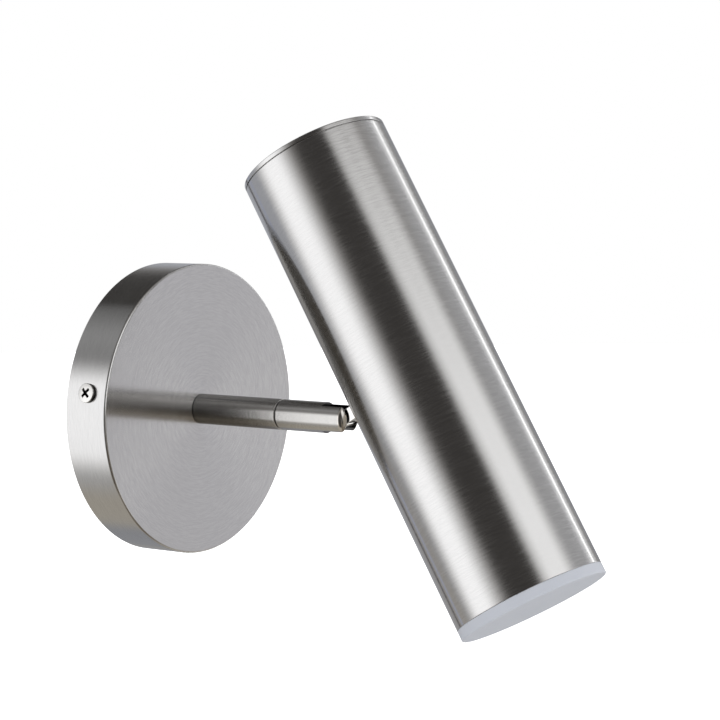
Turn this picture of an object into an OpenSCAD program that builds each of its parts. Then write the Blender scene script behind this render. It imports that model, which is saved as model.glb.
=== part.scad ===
// Adjustable tube wall light: a round canopy on the wall, a straight arm that swivels,
// a slotted knuckle, and a tubular LED head with a frosted lens at its lower end.
// Origin: centre of the bracket's back face, on the wall. +Z is up and the arm points to -Y.

/* [Canopy] */
// Outer diameter of the canopy
canopy_d = 120; // [110:1:140]
// Depth of the canopy from the wall
canopy_h = 20.6; // [20:0.1:26]
// Sheet thickness of the canopy
canopy_wall = 1.2; // [0.8:0.1:1.6]
// Radius of the canopy's front edge
canopy_edge_r = 1.1; // [0.6:0.1:1.6]
// Turn of the bracket and its two rim screws out of level
rim_angle = 11; // [0:1:20]
// Distance of the rim screws from the wall
rim_screw_y = 11; // [8:0.5:12]

/* [Bracket] */
// Thickness of the bracket's steel strip
bracket_t = 2; // [1.5:0.1:2.5]
// Width of the bracket
bracket_w = 26; // [24:1:32]
// Pitch circle of the two wall screws
wall_pcd = 70; // [62:1:80]
// Diameter of the wall screw holes
wall_hole_d = 4.6; // [4:0.1:6]
// Clear diameter inside the cable grommet
cable_hole_d = 14; // [11:0.5:15]

/* [Arm] */
// Outer diameter of the arm
arm_d = 12.5; // [12:0.1:14]
// Distance of the swivel seam from the wall
seam_y = 63.4; // [56:0.1:68]
// Distance of the tilt pivot from the wall
pivot_y = 94.4; // [88:0.1:100]
// Bore of the stem
stem_bore_d = 10.1; // [9.8:0.1:10.4]
// Bore of the knuckle sleeve
sleeve_bore_d = 5; // [4:0.1:6]
// Radius of the sleeve's domed end
dome_r = 8; // [7.5:0.1:10]
// Width of the knuckle slot
slot_w = 7; // [6.6:0.1:7.4]

/* [Head] */
// Outer diameter of the head tube
head_d = 60.6; // [56:0.1:66]
// Wall of the head tube
tube_wall = 1.2; // [0.8:0.1:1.6]
// Length of the head tube above the arm's foot point
tube_up = 94.6; // [85:0.1:105]
// Length of the head tube below the arm's foot point
tube_down = 97.9; // [92:0.1:110]
// Distance from the tilt pivot to the tube's axis
reach = 41.4; // [41:0.1:50]
// Tilt of the head from upright in the rest position
rest_tilt = 30.6; // [0:0.1:50]
// Height of the lens below the tube
lens_proud = 4.2; // [3:0.1:8]
// Height of the top cap's rim
cap_rim_h = 1.7; // [1.2:0.1:4]
// Rise of the top cap's crown above its rim
crown_h = 1.6; // [1:0.1:4]

/* [Light source] */
// Depth of the LED board above the tube's lower end
board_depth = 13.9; // [13:0.1:20]
// Gap between the LED board's edge and the tube's inner wall
board_margin = 2.1; // [2.1:0.1:4]
// Number of LEDs in the ring
led_count = 12; // [6:1:16]
// Height of the heat sink's fins
fin_h = 30; // [10:1:36]
// Number of fins
fin_count = 16; // [8:1:18]

/* [Fits] */
// Radial running clearance of a turning fit
run_fit = 0.05; // [0.02:0.01:0.1]
// Radial clearance of a screwed or pressed fit
set_fit = 0.02; // [0.01:0.01:0.04]
// Gap left between flat faces that slide or seat
seat_gap = 0.05; // [0.02:0.01:0.1]

/* [Hidden] */
$fn = 96;
eps = 0.01;
over = 1;

canopy_r = canopy_d / 2;
canopy_in = canopy_r - canopy_wall;
face_in = canopy_h - canopy_wall;
arm_r = arm_d / 2;
arm_chamfer = 0.3;

// Bracket, tabs and rim screws
tab_gap = 1;
tab_x = canopy_in - tab_gap;
tab_w = 14;
tab_over = 5;
tab_h = rim_screw_y + tab_over;
screw_r = 2;
screw_head_r = 3.9;
screw_head_h = 2.5;
screw_len = 9;
recess_w = 0.9;
recess_l = 4.4;
recess_h = 1.5;
blade_w = 0.8;
blade_h = 0.6;
grommet_lip = 1.5;
grommet_wall = 1.2;
grommet_hole_r = cable_hole_d / 2 + grommet_wall;

// Earth terminal on the bracket
earth_x = 21;
earth_z = 6.5;
earth_screw_r = 2;
earth_head_r = 3.5;
earth_head_h = 2.2;
earth_tail = 0.2;
earth_washer_r = 4.6;
earth_washer_t = 0.8;

// Threaded nipple that holds the stem to the canopy
nipple_r = 5;
nipple_bore_r = 3.5;
nipple_in_stem = 12;
nut_af = 14;
nut_h = 3.5;
lock_washer_r = 7.5;
lock_washer_t = 1;
nipple_tail = 1.5;

// Driver and terminals in the canopy
pad_t = 0.8;
driver_l = 58;
driver_w = 26;
driver_h = 13.5;
driver_z = -29;
block_l = 26;
block_w = 12;
block_h = 10;
block_z = 27;
block_poles = 3;
block_groove = 1.2;
block_well_r = 1.9;
block_well_h = 4;
block_mid = face_in - pad_t - block_h / 2;
pole_inset = 3;
case_step = 3;
case_step_h = 4;
pad_inset = 2;

// Swivel: a hollow shoulder bolt turns in the stem's end flange
seam_gap = 0.6;
stem_end = seam_y - seam_gap / 2;
sleeve_start = seam_y + seam_gap / 2;
flange_t = 3;
bolt_r = 3.5;
bolt_head_r = 4.8;
bolt_head_h = 2;
bolt_bore_r = 2;
bolt_thread = 10;
spring_t = 0.4;
seam_washer_t = seam_gap - 2 * seat_gap;
seam_washer_r = arm_r - 0.5;
stop_r = 4.7;
stop_pin_r = 0.6;
stop_depth = 1.4;
stop_land_w = 1.2;
stop_wall = 0.1;
stop_hold = 2.6;
stop_lift = 0.4;

// Knuckle: slot, tongue, screw and washers
dome_rise = dome_r - sqrt(dome_r * dome_r - arm_r * arm_r);
dome_apex = pivot_y + 3.9;
slot_root = pivot_y - 8.9;
tongue_w = 6.2;
neck_w = 5.4;
pivot_washer_t = 0.7;
pivot_washer_r = tongue_w / 2 - 0.2;
tongue_t = slot_w - 2 * pivot_washer_t - 4 * seat_gap;
pivot_r = 1.5;
pivot_thread_r = 1.2;
pivot_head_r = 2;
pivot_head_h = 0.9;
pivot_floor = arm_r - 1.75;
blind_wall = 1.05;

// Lug: collar against the tube, hollow stud through its wall
head_r = head_d / 2;
tube_in = head_r - tube_wall;
collar_gap = 8.1;
collar_r = 5;
collar_chamfer = 0.5;
stud_r = 4;
lug_bore_r = 1.7;
channel_w = 2.4;
channel_floor = pivot_r + 0.75;
channel_back = 2;
saddle_r = 8;
saddle_t = 2.4;
lug_nut_af = 13;
lug_nut_h = 4;
stud_tail = 1;
saddle_flat = tube_in - saddle_t;
stud_end = saddle_flat - lug_nut_h - 3 * seat_gap - stud_tail;

// Top cap
seam_line = 0.3;
cap_collar_h = 8;
cap_collar_wall = 1.2;
crown_r = (head_r * head_r + crown_h * crown_h) / (2 * crown_h);

// LED engine, measured up the tube from its lower end
board_t = 1.6;
board_r = tube_in - board_margin;
board_inset = 3.4;
board_z = -tube_down + board_depth;
sink_z = board_z + board_t + seat_gap;
sink_r = tube_in - run_fit;
sink_base_h = 5;
sink_core_r = 9;
fin_t = 1.5;
sink_hole_r = 2.2;
board_screw_r = 1.5;
board_screw_at = board_r - board_inset;
board_screw_head_r = 2.6;
board_screw_head_h = 1.9;
board_screw_len = 5;
board_screw_count = 3;
screw_relief = 1;
led_ring_r = 13;
led_w = 3;
led_h = 0.8;
lead_hole_at = board_r - board_inset;
connector_l = 7;
connector_w = 3.6;
connector_h = 2.6;
spigot_h = 4;
spigot_wall = 2.2;
spigot_r = tube_in - 2 * run_fit;
lens_edge_r = 0.6;
seal_r = 0.65;
seal_play = 0.1;
seal_at = tube_in - seal_r - run_fit;
seal_z = -tube_down + spigot_h / 2;
reflector_t = 0.8;
reflector_foot = 1;
connector_room = 3;
reflector_top_r = lead_hole_at - connector_w / 2 - connector_room - reflector_t;
reflector_low = -tube_down + spigot_h + seat_gap;
reflector_high = board_z - seat_gap;
reflector_low_r = tube_in - spigot_wall;

// Leads
lead_r = 0.5;
mains_r = 0.8;
lead_sides = 8;
lead_stub = 1.5;
lead_dip = 3;
lead_slack = 5;
lead_pitch = 1.2 * lead_r;
supply_from = 9;
supply_to = 18;
supply_side = 20;
supply_pitch = 4;
supply_fan = 5;
driver_exit = 12;

// Along the arm: local +Z runs away from the wall, local +Y is up
module on_arm(d = 0) {
    translate([0, -d, 0]) rotate([90, 0, 0]) children();
}

// On the head: local +Z runs up the tube's axis, local +Y points back to the arm
module on_head() {
    translate([0, -pivot_y, 0]) rotate([-rest_tilt, 0, 0]) translate([0, -reach, 0]) children();
}

// Radially out of the canopy at rim screw i, local +Z along the screw
module on_rim(i, x) {
    on_arm() rotate([0, 0, 180 - rim_angle + 180 * i]) translate([x, 0, rim_screw_y])
        rotate([0, 90, 0]) children();
}

// Across the arm at the tilt pivot, local +Z along +X
module on_pivot(x = 0) {
    translate([x, -pivot_y, 0]) rotate([0, 90, 0]) children();
}

// Back wall of the tube, local +Z pointing from the tube's axis to the pivot
module on_back() {
    rotate([-90, 0, 0]) children();
}

module ring(r_out, r_in, h) {
    difference() {
        cylinder(r = r_out, h = h);
        translate([0, 0, -over]) cylinder(r = r_in, h = h + 2 * over);
    }
}

module hex_nut(af, bore_r, h) {
    difference() {
        cylinder(r = af / sqrt(3), h = h, $fn = 6);
        translate([0, 0, -over]) cylinder(r = bore_r, h = h + 2 * over);
    }
}

// Cross recess sunk from z = 0 downwards
module cross_recess() {
    for (turn = [0, 90])
        rotate([0, 0, turn + 45]) translate([-recess_l / 2, -recess_w / 2, -recess_h])
            cube([recess_l, recess_w, recess_h + over]);
}

// Pan head standing on z = 0: a disc whose top is rounded over by a large sphere
module pan_head(r, h) {
    ball = r * 1.25;
    intersection() {
        cylinder(r = r, h = h);
        translate([0, 0, h - ball]) sphere(r = ball);
    }
}

// Lead swept along hand-picked points, with one ring of sides at each point
function unit(v) = v / norm(v);
function heading(p, i) =
    unit(p[min(i + 1, len(p) - 1)] - p[max(i - 1, 0)]);
function side_axis(d) =
    unit(cross(d, abs(d[0]) < 0.8 ? [1, 0, 0] : [0, 1, 0]));
function carried(s, d) = unit(s - (s * d) * d);
function frames(p, i = 0, s = undef) =
    i == len(p) ? [] :
    let (d = heading(p, i), n = s == undef ? side_axis(d) : carried(s, d))
    concat([[n, cross(d, n)]], frames(p, i + 1, n));
function lead_points(p, r) =
    let (f = frames(p))
    [for (i = [0:len(p) - 1]) for (k = [0:lead_sides - 1])
        let (a = 360 * (k + 0.5) / lead_sides)
        p[i] + r * (cos(a) * f[i][0] + sin(a) * f[i][1])];
function lead_faces(n) = concat(
    [[for (k = [lead_sides - 1:-1:0]) k]],
    [for (i = [0:n - 2]) for (k = [0:lead_sides - 1])
        let (a = i * lead_sides + k, b = i * lead_sides + (k + 1) % lead_sides)
        [a, b, b + lead_sides, a + lead_sides]],
    [[for (k = [0:lead_sides - 1]) (n - 1) * lead_sides + k]]);

module lead(points, r) {
    polyhedron(lead_points(points, r), [for (f = lead_faces(len(points))) [for (k = f) k]]);
}

function bend(a, b, c, steps = 4) =
    [for (i = [0:steps])
        let (t = i / steps) (1 - t) * (1 - t) * a + 2 * t * (1 - t) * b + t * t * c];

module mounting_bracket() {
    color("lightgray") on_arm() rotate([0, 0, -rim_angle]) difference() {
        union() {
            translate([-tab_x, -bracket_w / 2, 0]) cube([2 * tab_x, bracket_w, bracket_t]);
            for (side = [0, 180])
                rotate([0, 0, side]) translate([tab_x - bracket_t, -tab_w / 2, 0])
                    cube([bracket_t, tab_w, tab_h]);
        }
        // The strip's corners follow the canopy
        for (side = [-1, 1])
            translate([-tab_x - over, side > 0 ? tab_w / 2 : -tab_w / 2 - bracket_w, -over])
                for (end = [0, 2 * tab_x - bracket_w / 2 + over])
                    translate([end, 0, 0])
                        cube([bracket_w / 2 + over, bracket_w, bracket_t + 2 * over]);
        translate([0, 0, -over]) cylinder(r = grommet_hole_r, h = bracket_t + 2 * over);
        for (side = [-1, 1])
            translate([side * wall_pcd / 2, 0, -over])
                cylinder(d = wall_hole_d, h = bracket_t + 2 * over);
        translate([earth_x, earth_z, -over])
            cylinder(r = earth_screw_r + set_fit, h = bracket_t + 2 * over);
        translate([-tab_x - over, 0, rim_screw_y]) rotate([0, 90, 0])
            cylinder(r = screw_r + set_fit, h = 2 * tab_x + 2 * over);
    }
}

// Rubber ring that lines the bracket's cable hole: a tube with one lip in front
module cable_grommet() {
    color("dimgray") on_arm() {
        ring(grommet_hole_r - set_fit, cable_hole_d / 2, bracket_t + seat_gap);
        translate([0, 0, bracket_t + seat_gap])
            ring(grommet_hole_r + grommet_lip, cable_hole_d / 2, grommet_lip);
    }
}

module earth_screw() {
    color("gold") on_arm() rotate([0, 0, -rim_angle]) translate([earth_x, earth_z, 0])
        difference() {
            union() {
                translate([0, 0, earth_tail]) cylinder(r = earth_screw_r,
                    h = bracket_t + earth_washer_t + 2 * seat_gap + eps - earth_tail);
                translate([0, 0, bracket_t + earth_washer_t + 2 * seat_gap])
                    pan_head(earth_head_r, earth_head_h);
            }
            translate([0, 0, bracket_t + earth_washer_t + 2 * seat_gap + earth_head_h])
                cross_recess();
        }
}

module earth_washer() {
    color("silver") on_arm() rotate([0, 0, -rim_angle])
        translate([earth_x, earth_z, bracket_t + seat_gap])
            ring(earth_washer_r, earth_screw_r + run_fit, earth_washer_t);
}

// Green lead from the terminal block's free pole to the washer's edge
module earth_lead() {
    from = [block_l / 2 - pole_inset, block_z - block_w / 2 - seat_gap, block_mid];
    turn = -rim_angle;
    c = [earth_x * cos(turn) - earth_z * sin(turn), earth_x * sin(turn) + earth_z * cos(turn)];
    to = [c[0], c[1] + earth_washer_r + mains_r + run_fit, bracket_t + seat_gap + mains_r];
    color("limegreen") on_arm()
        lead(concat([from], bend(from - [0, lead_stub, 0],
            [from[0] + pole_inset / 3, from[1] - block_w / 2, to[2]], to + [0, lead_stub, 0], 6),
            [to]), mains_r);
}

module canopy() {
    color([0.72, 0.71, 0.69]) on_arm() difference() {
        rotate_extrude() difference() {
            union() {
                square([canopy_r - canopy_edge_r, canopy_h]);
                square([canopy_r, canopy_h - canopy_edge_r]);
                translate([canopy_r - canopy_edge_r, canopy_h - canopy_edge_r])
                    circle(r = canopy_edge_r);
            }
            translate([-over, -over]) square([canopy_in + over, face_in + over]);
            translate([-2 * canopy_r, -over]) square([2 * canopy_r, canopy_h + 2 * over]);
        }
        translate([0, 0, face_in - over])
            cylinder(r = nipple_r + 2 * run_fit, h = canopy_wall + 2 * over);
        for (i = [0, 1])
            rotate([0, 0, 180 - rim_angle + 180 * i])
                translate([canopy_in - over, 0, rim_screw_y]) rotate([0, 90, 0])
                    cylinder(r = screw_r + 2 * run_fit, h = canopy_wall + 2 * over);
    }
}

module canopy_screws() {
    color("white") for (i = [0, 1])
        on_rim(i, canopy_r + set_fit) difference() {
            union() {
                translate([0, 0, -screw_len]) cylinder(r = screw_r, h = screw_len + eps);
                pan_head(screw_head_r, screw_head_h);
            }
            translate([0, 0, screw_head_h]) cross_recess();
        }
}

module nipple() {
    tail = lock_washer_t + nut_h + nipple_tail + 2 * seat_gap;
    color("goldenrod") on_arm(face_in - tail)
        ring(nipple_r, nipple_bore_r, tail + canopy_wall + nipple_in_stem);
}

module nipple_washer() {
    color("silver") on_arm(face_in - lock_washer_t - seat_gap)
        ring(lock_washer_r, nipple_r + run_fit, lock_washer_t);
}

module nipple_nut() {
    color("goldenrod") on_arm(face_in - lock_washer_t - nut_h - 2 * seat_gap)
        hex_nut(nut_af, nipple_r + set_fit, nut_h);
}

// Stem: bored tube whose end flange carries the swivel bolt and an arc groove for the stop
module stem() {
    length = stem_end - canopy_h - seat_gap;
    color([0.66, 0.65, 0.63]) on_arm(canopy_h + seat_gap) difference() {
        union() {
            cylinder(r = arm_r, h = length - arm_chamfer);
            translate([0, 0, length - arm_chamfer - eps])
                cylinder(r1 = arm_r, r2 = arm_r - arm_chamfer, h = arm_chamfer + eps);
        }
        translate([0, 0, -over]) cylinder(d = stem_bore_d, h = length - flange_t + over);
        translate([0, 0, -over]) cylinder(r = bolt_r + run_fit, h = length + 2 * over);
        translate([0, 0, length - stop_depth]) difference() {
            ring(stop_r + stop_pin_r + stop_wall, stop_r - stop_pin_r - stop_wall,
                stop_depth + over);
            translate([-stop_land_w / 2, 0, -over])
                cube([stop_land_w, arm_r, stop_depth + 3 * over]);
        }
    }
}

// Foam tape under the driver and the terminal block
module tape_pads() {
    color("whitesmoke") on_arm(face_in - pad_t) {
        translate([-driver_l / 2 + pad_inset, driver_z - driver_w / 2 + pad_inset, 0])
            cube([driver_l - 2 * pad_inset, driver_w - 2 * pad_inset, pad_t]);
        translate([-block_l / 2 + pad_inset / 2, block_z - block_w / 2 + pad_inset / 2, 0])
            cube([block_l - pad_inset, block_w - pad_inset, pad_t]);
    }
}

module led_driver() {
    color("white") on_arm(face_in - pad_t - seat_gap - driver_h)
        translate([-driver_l / 2, driver_z - driver_w / 2, 0]) difference() {
            cube([driver_l, driver_w, driver_h]);
            // Steps at both ends where the case halves close
            for (x = [-over, driver_l - case_step])
                translate([x, -over, -over])
                    cube([case_step + over, driver_w + 2 * over, case_step_h + over]);
        }
}

// Three-pole block: a ridge for each pole with its screw well and lead hole
module terminal_block() {
    pitch = block_l / block_poles;
    color("ivory") on_arm(face_in - pad_t - seat_gap - block_h)
        translate([-block_l / 2, block_z - block_w / 2, 0]) difference() {
            cube([block_l, block_w, block_h]);
            for (i = [1:block_poles - 1])
                translate([i * pitch - block_groove / 2, -over, -over])
                    cube([block_groove, block_w + 2 * over, pole_inset + over]);
            for (i = [0:block_poles - 1])
                translate([(i + 0.5) * pitch, block_w / 2, -over])
                    cylinder(r = block_well_r, h = block_well_h + over);
        }
}

// Two mains leads from the block round the side of the nut to the driver
module supply_leads() {
    low = block_mid - lead_dip;
    color("saddlebrown") on_arm() for (i = [0, 1]) {
        start = [-supply_from + supply_fan * i, block_z - block_w / 2 - seat_gap, block_mid];
        stop = [-supply_to + pole_inset * i, driver_z + driver_w / 2 + seat_gap, block_mid];
        side = [-supply_side + supply_pitch * i, supply_pitch, low];
        lead(concat([start],
            bend(start - [0, lead_stub, 0], [start[0] - lead_dip, block_z / 2, low], side, 3),
            bend(side - [1, lead_dip, 0],
                [side[0] - supply_pitch / 2, (driver_z + driver_w / 2) / 2, low],
                stop + [0, lead_stub, 0], 3), [stop]), mains_r);
    }
}

// Two low-voltage leads from the driver, through the nipple and the stem, to the swivel bolt
module driver_leads() {
    bolt_back = stem_end - flange_t - spring_t - bolt_head_h - 2 * seat_gap;
    mouth = face_in - lock_washer_t - nut_h - nipple_tail;
    color("firebrick") on_arm() for (side = [-1, 1]) {
        x = side * lead_pitch;
        start = [driver_exit + lead_dip * side, driver_z + driver_w / 2 + seat_gap,
            mouth - lead_dip];
        lead(concat([start], bend(start + [0, lead_stub, 0],
            [x + supply_pitch, -lead_dip, mouth - supply_fan], [x, 0, mouth + 1], 5),
            [[x, 0, (mouth + bolt_back) / 2], [x, 0, bolt_back + 1]]), lead_r);
    }
}

module swivel_bolt() {
    head_z = stem_end - flange_t - spring_t - 2 * seat_gap - bolt_head_h;
    color("silver") on_arm(head_z) difference() {
        union() {
            cylinder(r = bolt_head_r, h = bolt_head_h);
            cylinder(r = bolt_r, h = sleeve_start + bolt_thread - head_z);
        }
        translate([0, 0, -over])
            cylinder(r = bolt_bore_r, h = sleeve_start + bolt_thread - head_z + 2 * over);
    }
}

// Spring washer that keeps the swivel stiff
module spring_washer() {
    color("dimgray") on_arm(stem_end - flange_t - spring_t - seat_gap)
        ring(bolt_head_r, bolt_r + run_fit, spring_t);
}

module seam_washer() {
    color("black") on_arm(stem_end + seat_gap) difference() {
        ring(seam_washer_r, bolt_r + run_fit, seam_washer_t);
        translate([0, -stop_r, -over]) cylinder(r = stop_pin_r + run_fit, h = 3 * over);
    }
}

module stop_pin() {
    color("silver") on_arm(stem_end - stop_depth + stop_lift) translate([0, -stop_r, 0])
        cylinder(r = stop_pin_r, h = stop_depth + seam_gap + stop_hold - 2 * stop_lift);
}

// Knuckle sleeve: turned bar with a domed end, a vertical slot, and a cross hole for the pivot
module knuckle_sleeve() {
    color([0.8, 0.79, 0.77]) difference() {
        on_arm() difference() {
            intersection() {
                union() {
                    translate([0, 0, sleeve_start + arm_chamfer - eps])
                        cylinder(r = arm_r, h = dome_apex - sleeve_start);
                    translate([0, 0, sleeve_start])
                        cylinder(r1 = arm_r - arm_chamfer, r2 = arm_r, h = arm_chamfer);
                }
                union() {
                    cylinder(r = arm_d, h = dome_apex - dome_rise - over);
                    translate([0, 0, dome_apex - dome_r]) sphere(r = dome_r);
                }
            }
            translate([0, 0, sleeve_start - over])
                cylinder(r = bolt_r + set_fit, h = bolt_thread + over + seat_gap);
            translate([0, 0, sleeve_start - over])
                cylinder(d = sleeve_bore_d, h = slot_root - sleeve_start + 2 * over);
            translate([0, -stop_r, sleeve_start - over])
                cylinder(r = stop_pin_r + set_fit, h = stop_hold + over);
            translate([-slot_w / 2, -arm_d, slot_root])
                cube([slot_w, 2 * arm_d, dome_apex - slot_root + over]);
        }
        on_pivot() cylinder(r = pivot_r + run_fit, h = arm_d);
        on_pivot(pivot_floor) cylinder(r = pivot_head_r + 2 * run_fit, h = arm_d);
        on_pivot(-arm_r + blind_wall) cylinder(r = pivot_thread_r + set_fit, h = arm_r);
    }
}

// Shoulder screw: head in the far cheek, blind thread in the near one
module pivot_screw() {
    color("silver") difference() {
        union() {
            on_pivot(pivot_floor + seat_gap) cylinder(r = pivot_head_r, h = pivot_head_h);
            on_pivot(-slot_w / 2 + seat_gap)
                cylinder(r = pivot_r, h = pivot_floor + slot_w / 2 + eps);
            on_pivot(-arm_r + blind_wall + seat_gap)
                cylinder(r = pivot_thread_r, h = arm_r - blind_wall);
        }
        on_pivot(pivot_floor + seat_gap + pivot_head_h - blade_h)
            translate([-pivot_head_r - over, -blade_w / 2, 0])
                cube([2 * (pivot_head_r + over), blade_w, blade_h + over]);
    }
}

module pivot_washers() {
    color("gold") for (x = [-slot_w / 2 + seat_gap, slot_w / 2 - seat_gap - pivot_washer_t])
        on_pivot(x) ring(pivot_washer_r, pivot_r + run_fit, pivot_washer_t);
}

// Leads in the sleeve, from the swivel bolt's bore to the root of the slot
module sleeve_leads() {
    color("firebrick") on_arm() for (side = [-1, 1]) {
        x = side * lead_pitch;
        lead([[x, 0, sleeve_start - bolt_bore_r], [x, 0, (sleeve_start + slot_root) / 2],
            [x, 0, slot_root - lead_r]], lead_r);
    }
}

// Lug: tongue with a round eye, a turned collar seated on the tube, and a hollow stud
module head_lug() {
    front = reach - collar_gap;
    color([0.78, 0.77, 0.75]) on_head() difference() {
        union() {
            translate([-tongue_t / 2, front - over, -neck_w / 2])
                cube([tongue_t, collar_gap + over, neck_w]);
            translate([-tongue_t / 2, reach, 0]) rotate([0, 90, 0])
                cylinder(d = tongue_w, h = tongue_t);
            on_back() difference() {
                union() {
                    cylinder(r = collar_r, h = front - collar_chamfer);
                    translate([0, 0, front - collar_chamfer - eps])
                        cylinder(r1 = collar_r, r2 = collar_r - collar_chamfer,
                            h = collar_chamfer + eps);
                }
                rotate([90, 0, 0]) translate([0, 0, -head_r])
                    cylinder(r = head_r + set_fit, h = 2 * head_r);
            }
            on_back() translate([0, 0, stud_end]) cylinder(r = stud_r, h = head_r + 1 - stud_end);
        }
        translate([-tongue_t, reach, 0]) rotate([0, 90, 0])
            cylinder(r = pivot_r + run_fit, h = 2 * tongue_t);
        // Lead channel: up the stud and out along the tongue's upper edge
        on_back() translate([0, 0, stud_end - over])
            cylinder(r = lug_bore_r, h = front - channel_back + over - stud_end + over);
        translate([-channel_w / 2, front - channel_back, 0])
            cube([channel_w, 2 * channel_back, arm_d]);
        translate([-channel_w / 2, front - channel_back, channel_floor])
            cube([channel_w, collar_gap + tongue_w, arm_d]);
    }
}

// Saddle: flat for the nut, hollowed to the tube's inner wall on its other side
module saddle_washer() {
    color("silver") on_head() intersection() {
        on_back() translate([0, 0, saddle_flat]) ring(saddle_r, stud_r + run_fit, saddle_t);
        translate([0, 0, -saddle_r - over])
            cylinder(r = tube_in - run_fit, h = 2 * (saddle_r + over));
    }
}

module lug_nut() {
    color("silver") on_head() on_back()
        translate([0, 0, saddle_flat - seat_gap - lug_nut_h])
            hex_nut(lug_nut_af, stud_r + set_fit, lug_nut_h);
}

module head_tube() {
    color([0.72, 0.71, 0.69]) on_head() difference() {
        translate([0, 0, -tube_down]) ring(head_r, tube_in, tube_down + tube_up);
        on_back() cylinder(r = stud_r + 2 * run_fit, h = head_r + over);
    }
}

// Top cap: crowned disc over a collar that fits inside the tube
module top_cap() {
    base = tube_up + seam_line;
    color([0.75, 0.74, 0.72]) on_head() {
        rotate_extrude() {
            intersection() {
                translate([0, base]) square([head_r, cap_rim_h + crown_h - eps]);
                translate([0, base + cap_rim_h + crown_h - crown_r])
                    circle(r = crown_r, $fn = 720);
            }
            translate([tube_in - run_fit - cap_collar_wall, tube_up - cap_collar_h])
                square([cap_collar_wall, cap_collar_h + seam_line + eps]);
        }
    }
}

// Heat sink: base disc, core and radial fins, with a through hole for the leads
module heat_sink() {
    color("gray") on_head() translate([0, 0, sink_z]) difference() {
        union() {
            cylinder(r = sink_r, h = sink_base_h);
            cylinder(r = sink_core_r, h = sink_base_h + fin_h);
            for (i = [0:fin_count - 1])
                rotate([0, 0, 90 + (i + 0.5) * 360 / fin_count])
                    translate([sink_core_r - over, -fin_t / 2, sink_base_h - eps])
                        cube([sink_r - sink_core_r, fin_t, fin_h]);
        }
        translate([0, lead_hole_at, -over])
            cylinder(r = sink_hole_r, h = sink_base_h + 2 * over);
        for (i = [0:board_screw_count - 1])
            rotate([0, 0, 270 + i * 360 / board_screw_count]) translate([board_screw_at, 0, -over])
                cylinder(r = board_screw_r + set_fit, h = board_screw_len + over);
    }
}

module led_board() {
    color("white") on_head() translate([0, 0, board_z]) difference() {
        cylinder(r = board_r, h = board_t);
        translate([0, lead_hole_at, -over])
            cylinder(r = sink_hole_r, h = board_t + 2 * over);
        for (i = [0:board_screw_count - 1])
            rotate([0, 0, 270 + i * 360 / board_screw_count]) translate([board_screw_at, 0, -over])
                cylinder(r = board_screw_r + run_fit, h = board_t + 2 * over);
    }
}

module led_emitters() {
    color("khaki") on_head() for (i = [0:led_count - 1])
        rotate([0, 0, i * 360 / led_count])
            translate([led_ring_r - led_w / 2, -led_w / 2, board_z - led_h - seat_gap])
                cube([led_w, led_w, led_h]);
}

module board_screws() {
    color("silver") on_head() for (i = [0:board_screw_count - 1])
        rotate([0, 0, 270 + i * 360 / board_screw_count])
            translate([board_screw_at, 0, board_z - seat_gap]) rotate([180, 0, 0])
                difference() {
                    union() {
                        translate([0, 0, screw_relief - board_t - board_screw_len])
                            cylinder(r = board_screw_r,
                                h = board_t + board_screw_len - screw_relief + eps);
                        pan_head(board_screw_head_r, board_screw_head_h);
                    }
                    translate([-board_screw_head_r - over, -blade_w / 2,
                        board_screw_head_h - blade_h])
                        cube([2 * (board_screw_head_r + over), blade_w, blade_h + over]);
                }
}

module lead_connector() {
    color("ivory") on_head()
        translate([-connector_l / 2, lead_hole_at - connector_w / 2,
            board_z - seat_gap - connector_h])
            cube([connector_l, connector_w, connector_h]);
}

// Conical white reflector between the board and the lens spigot
module reflector() {
    color("snow") on_head() translate([0, 0, reflector_low]) difference() {
        union() {
            cylinder(r = reflector_low_r + reflector_t, h = reflector_foot);
            translate([0, 0, reflector_foot - eps])
                cylinder(r1 = reflector_low_r + reflector_t, r2 = reflector_top_r + reflector_t,
                    h = reflector_high - reflector_low - reflector_foot + eps);
        }
        translate([0, 0, -eps])
            cylinder(r1 = reflector_low_r, r2 = reflector_top_r,
                h = reflector_high - reflector_low + 2 * eps);
    }
}

// Frosted lens: a disc flush with the tube's outside and a spigot that plugs into it
module diffuser() {
    color([0.72, 0.74, 0.78]) on_head() translate([0, 0, -tube_down - seat_gap])
        rotate_extrude() difference() {
            union() {
                translate([0, -lens_proud + lens_edge_r])
                    square([head_r, lens_proud - lens_edge_r]);
                translate([0, -lens_proud]) square([head_r - lens_edge_r, lens_proud]);
                translate([head_r - lens_edge_r, -lens_proud + lens_edge_r])
                    circle(r = lens_edge_r);
                translate([spigot_r - spigot_wall, -over])
                    square([spigot_wall, spigot_h + over]);
            }
            translate([seal_at - seal_r - seal_play, spigot_h / 2 - seal_r - seal_play])
                square([2 * seal_r + over, 2 * (seal_r + seal_play)]);
        }
}

module lens_seal() {
    color("dimgray") on_head() translate([0, 0, seal_z - seat_gap])
        rotate_extrude() translate([seal_at, 0]) circle(r = seal_r, $fn = 32);
}

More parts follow.
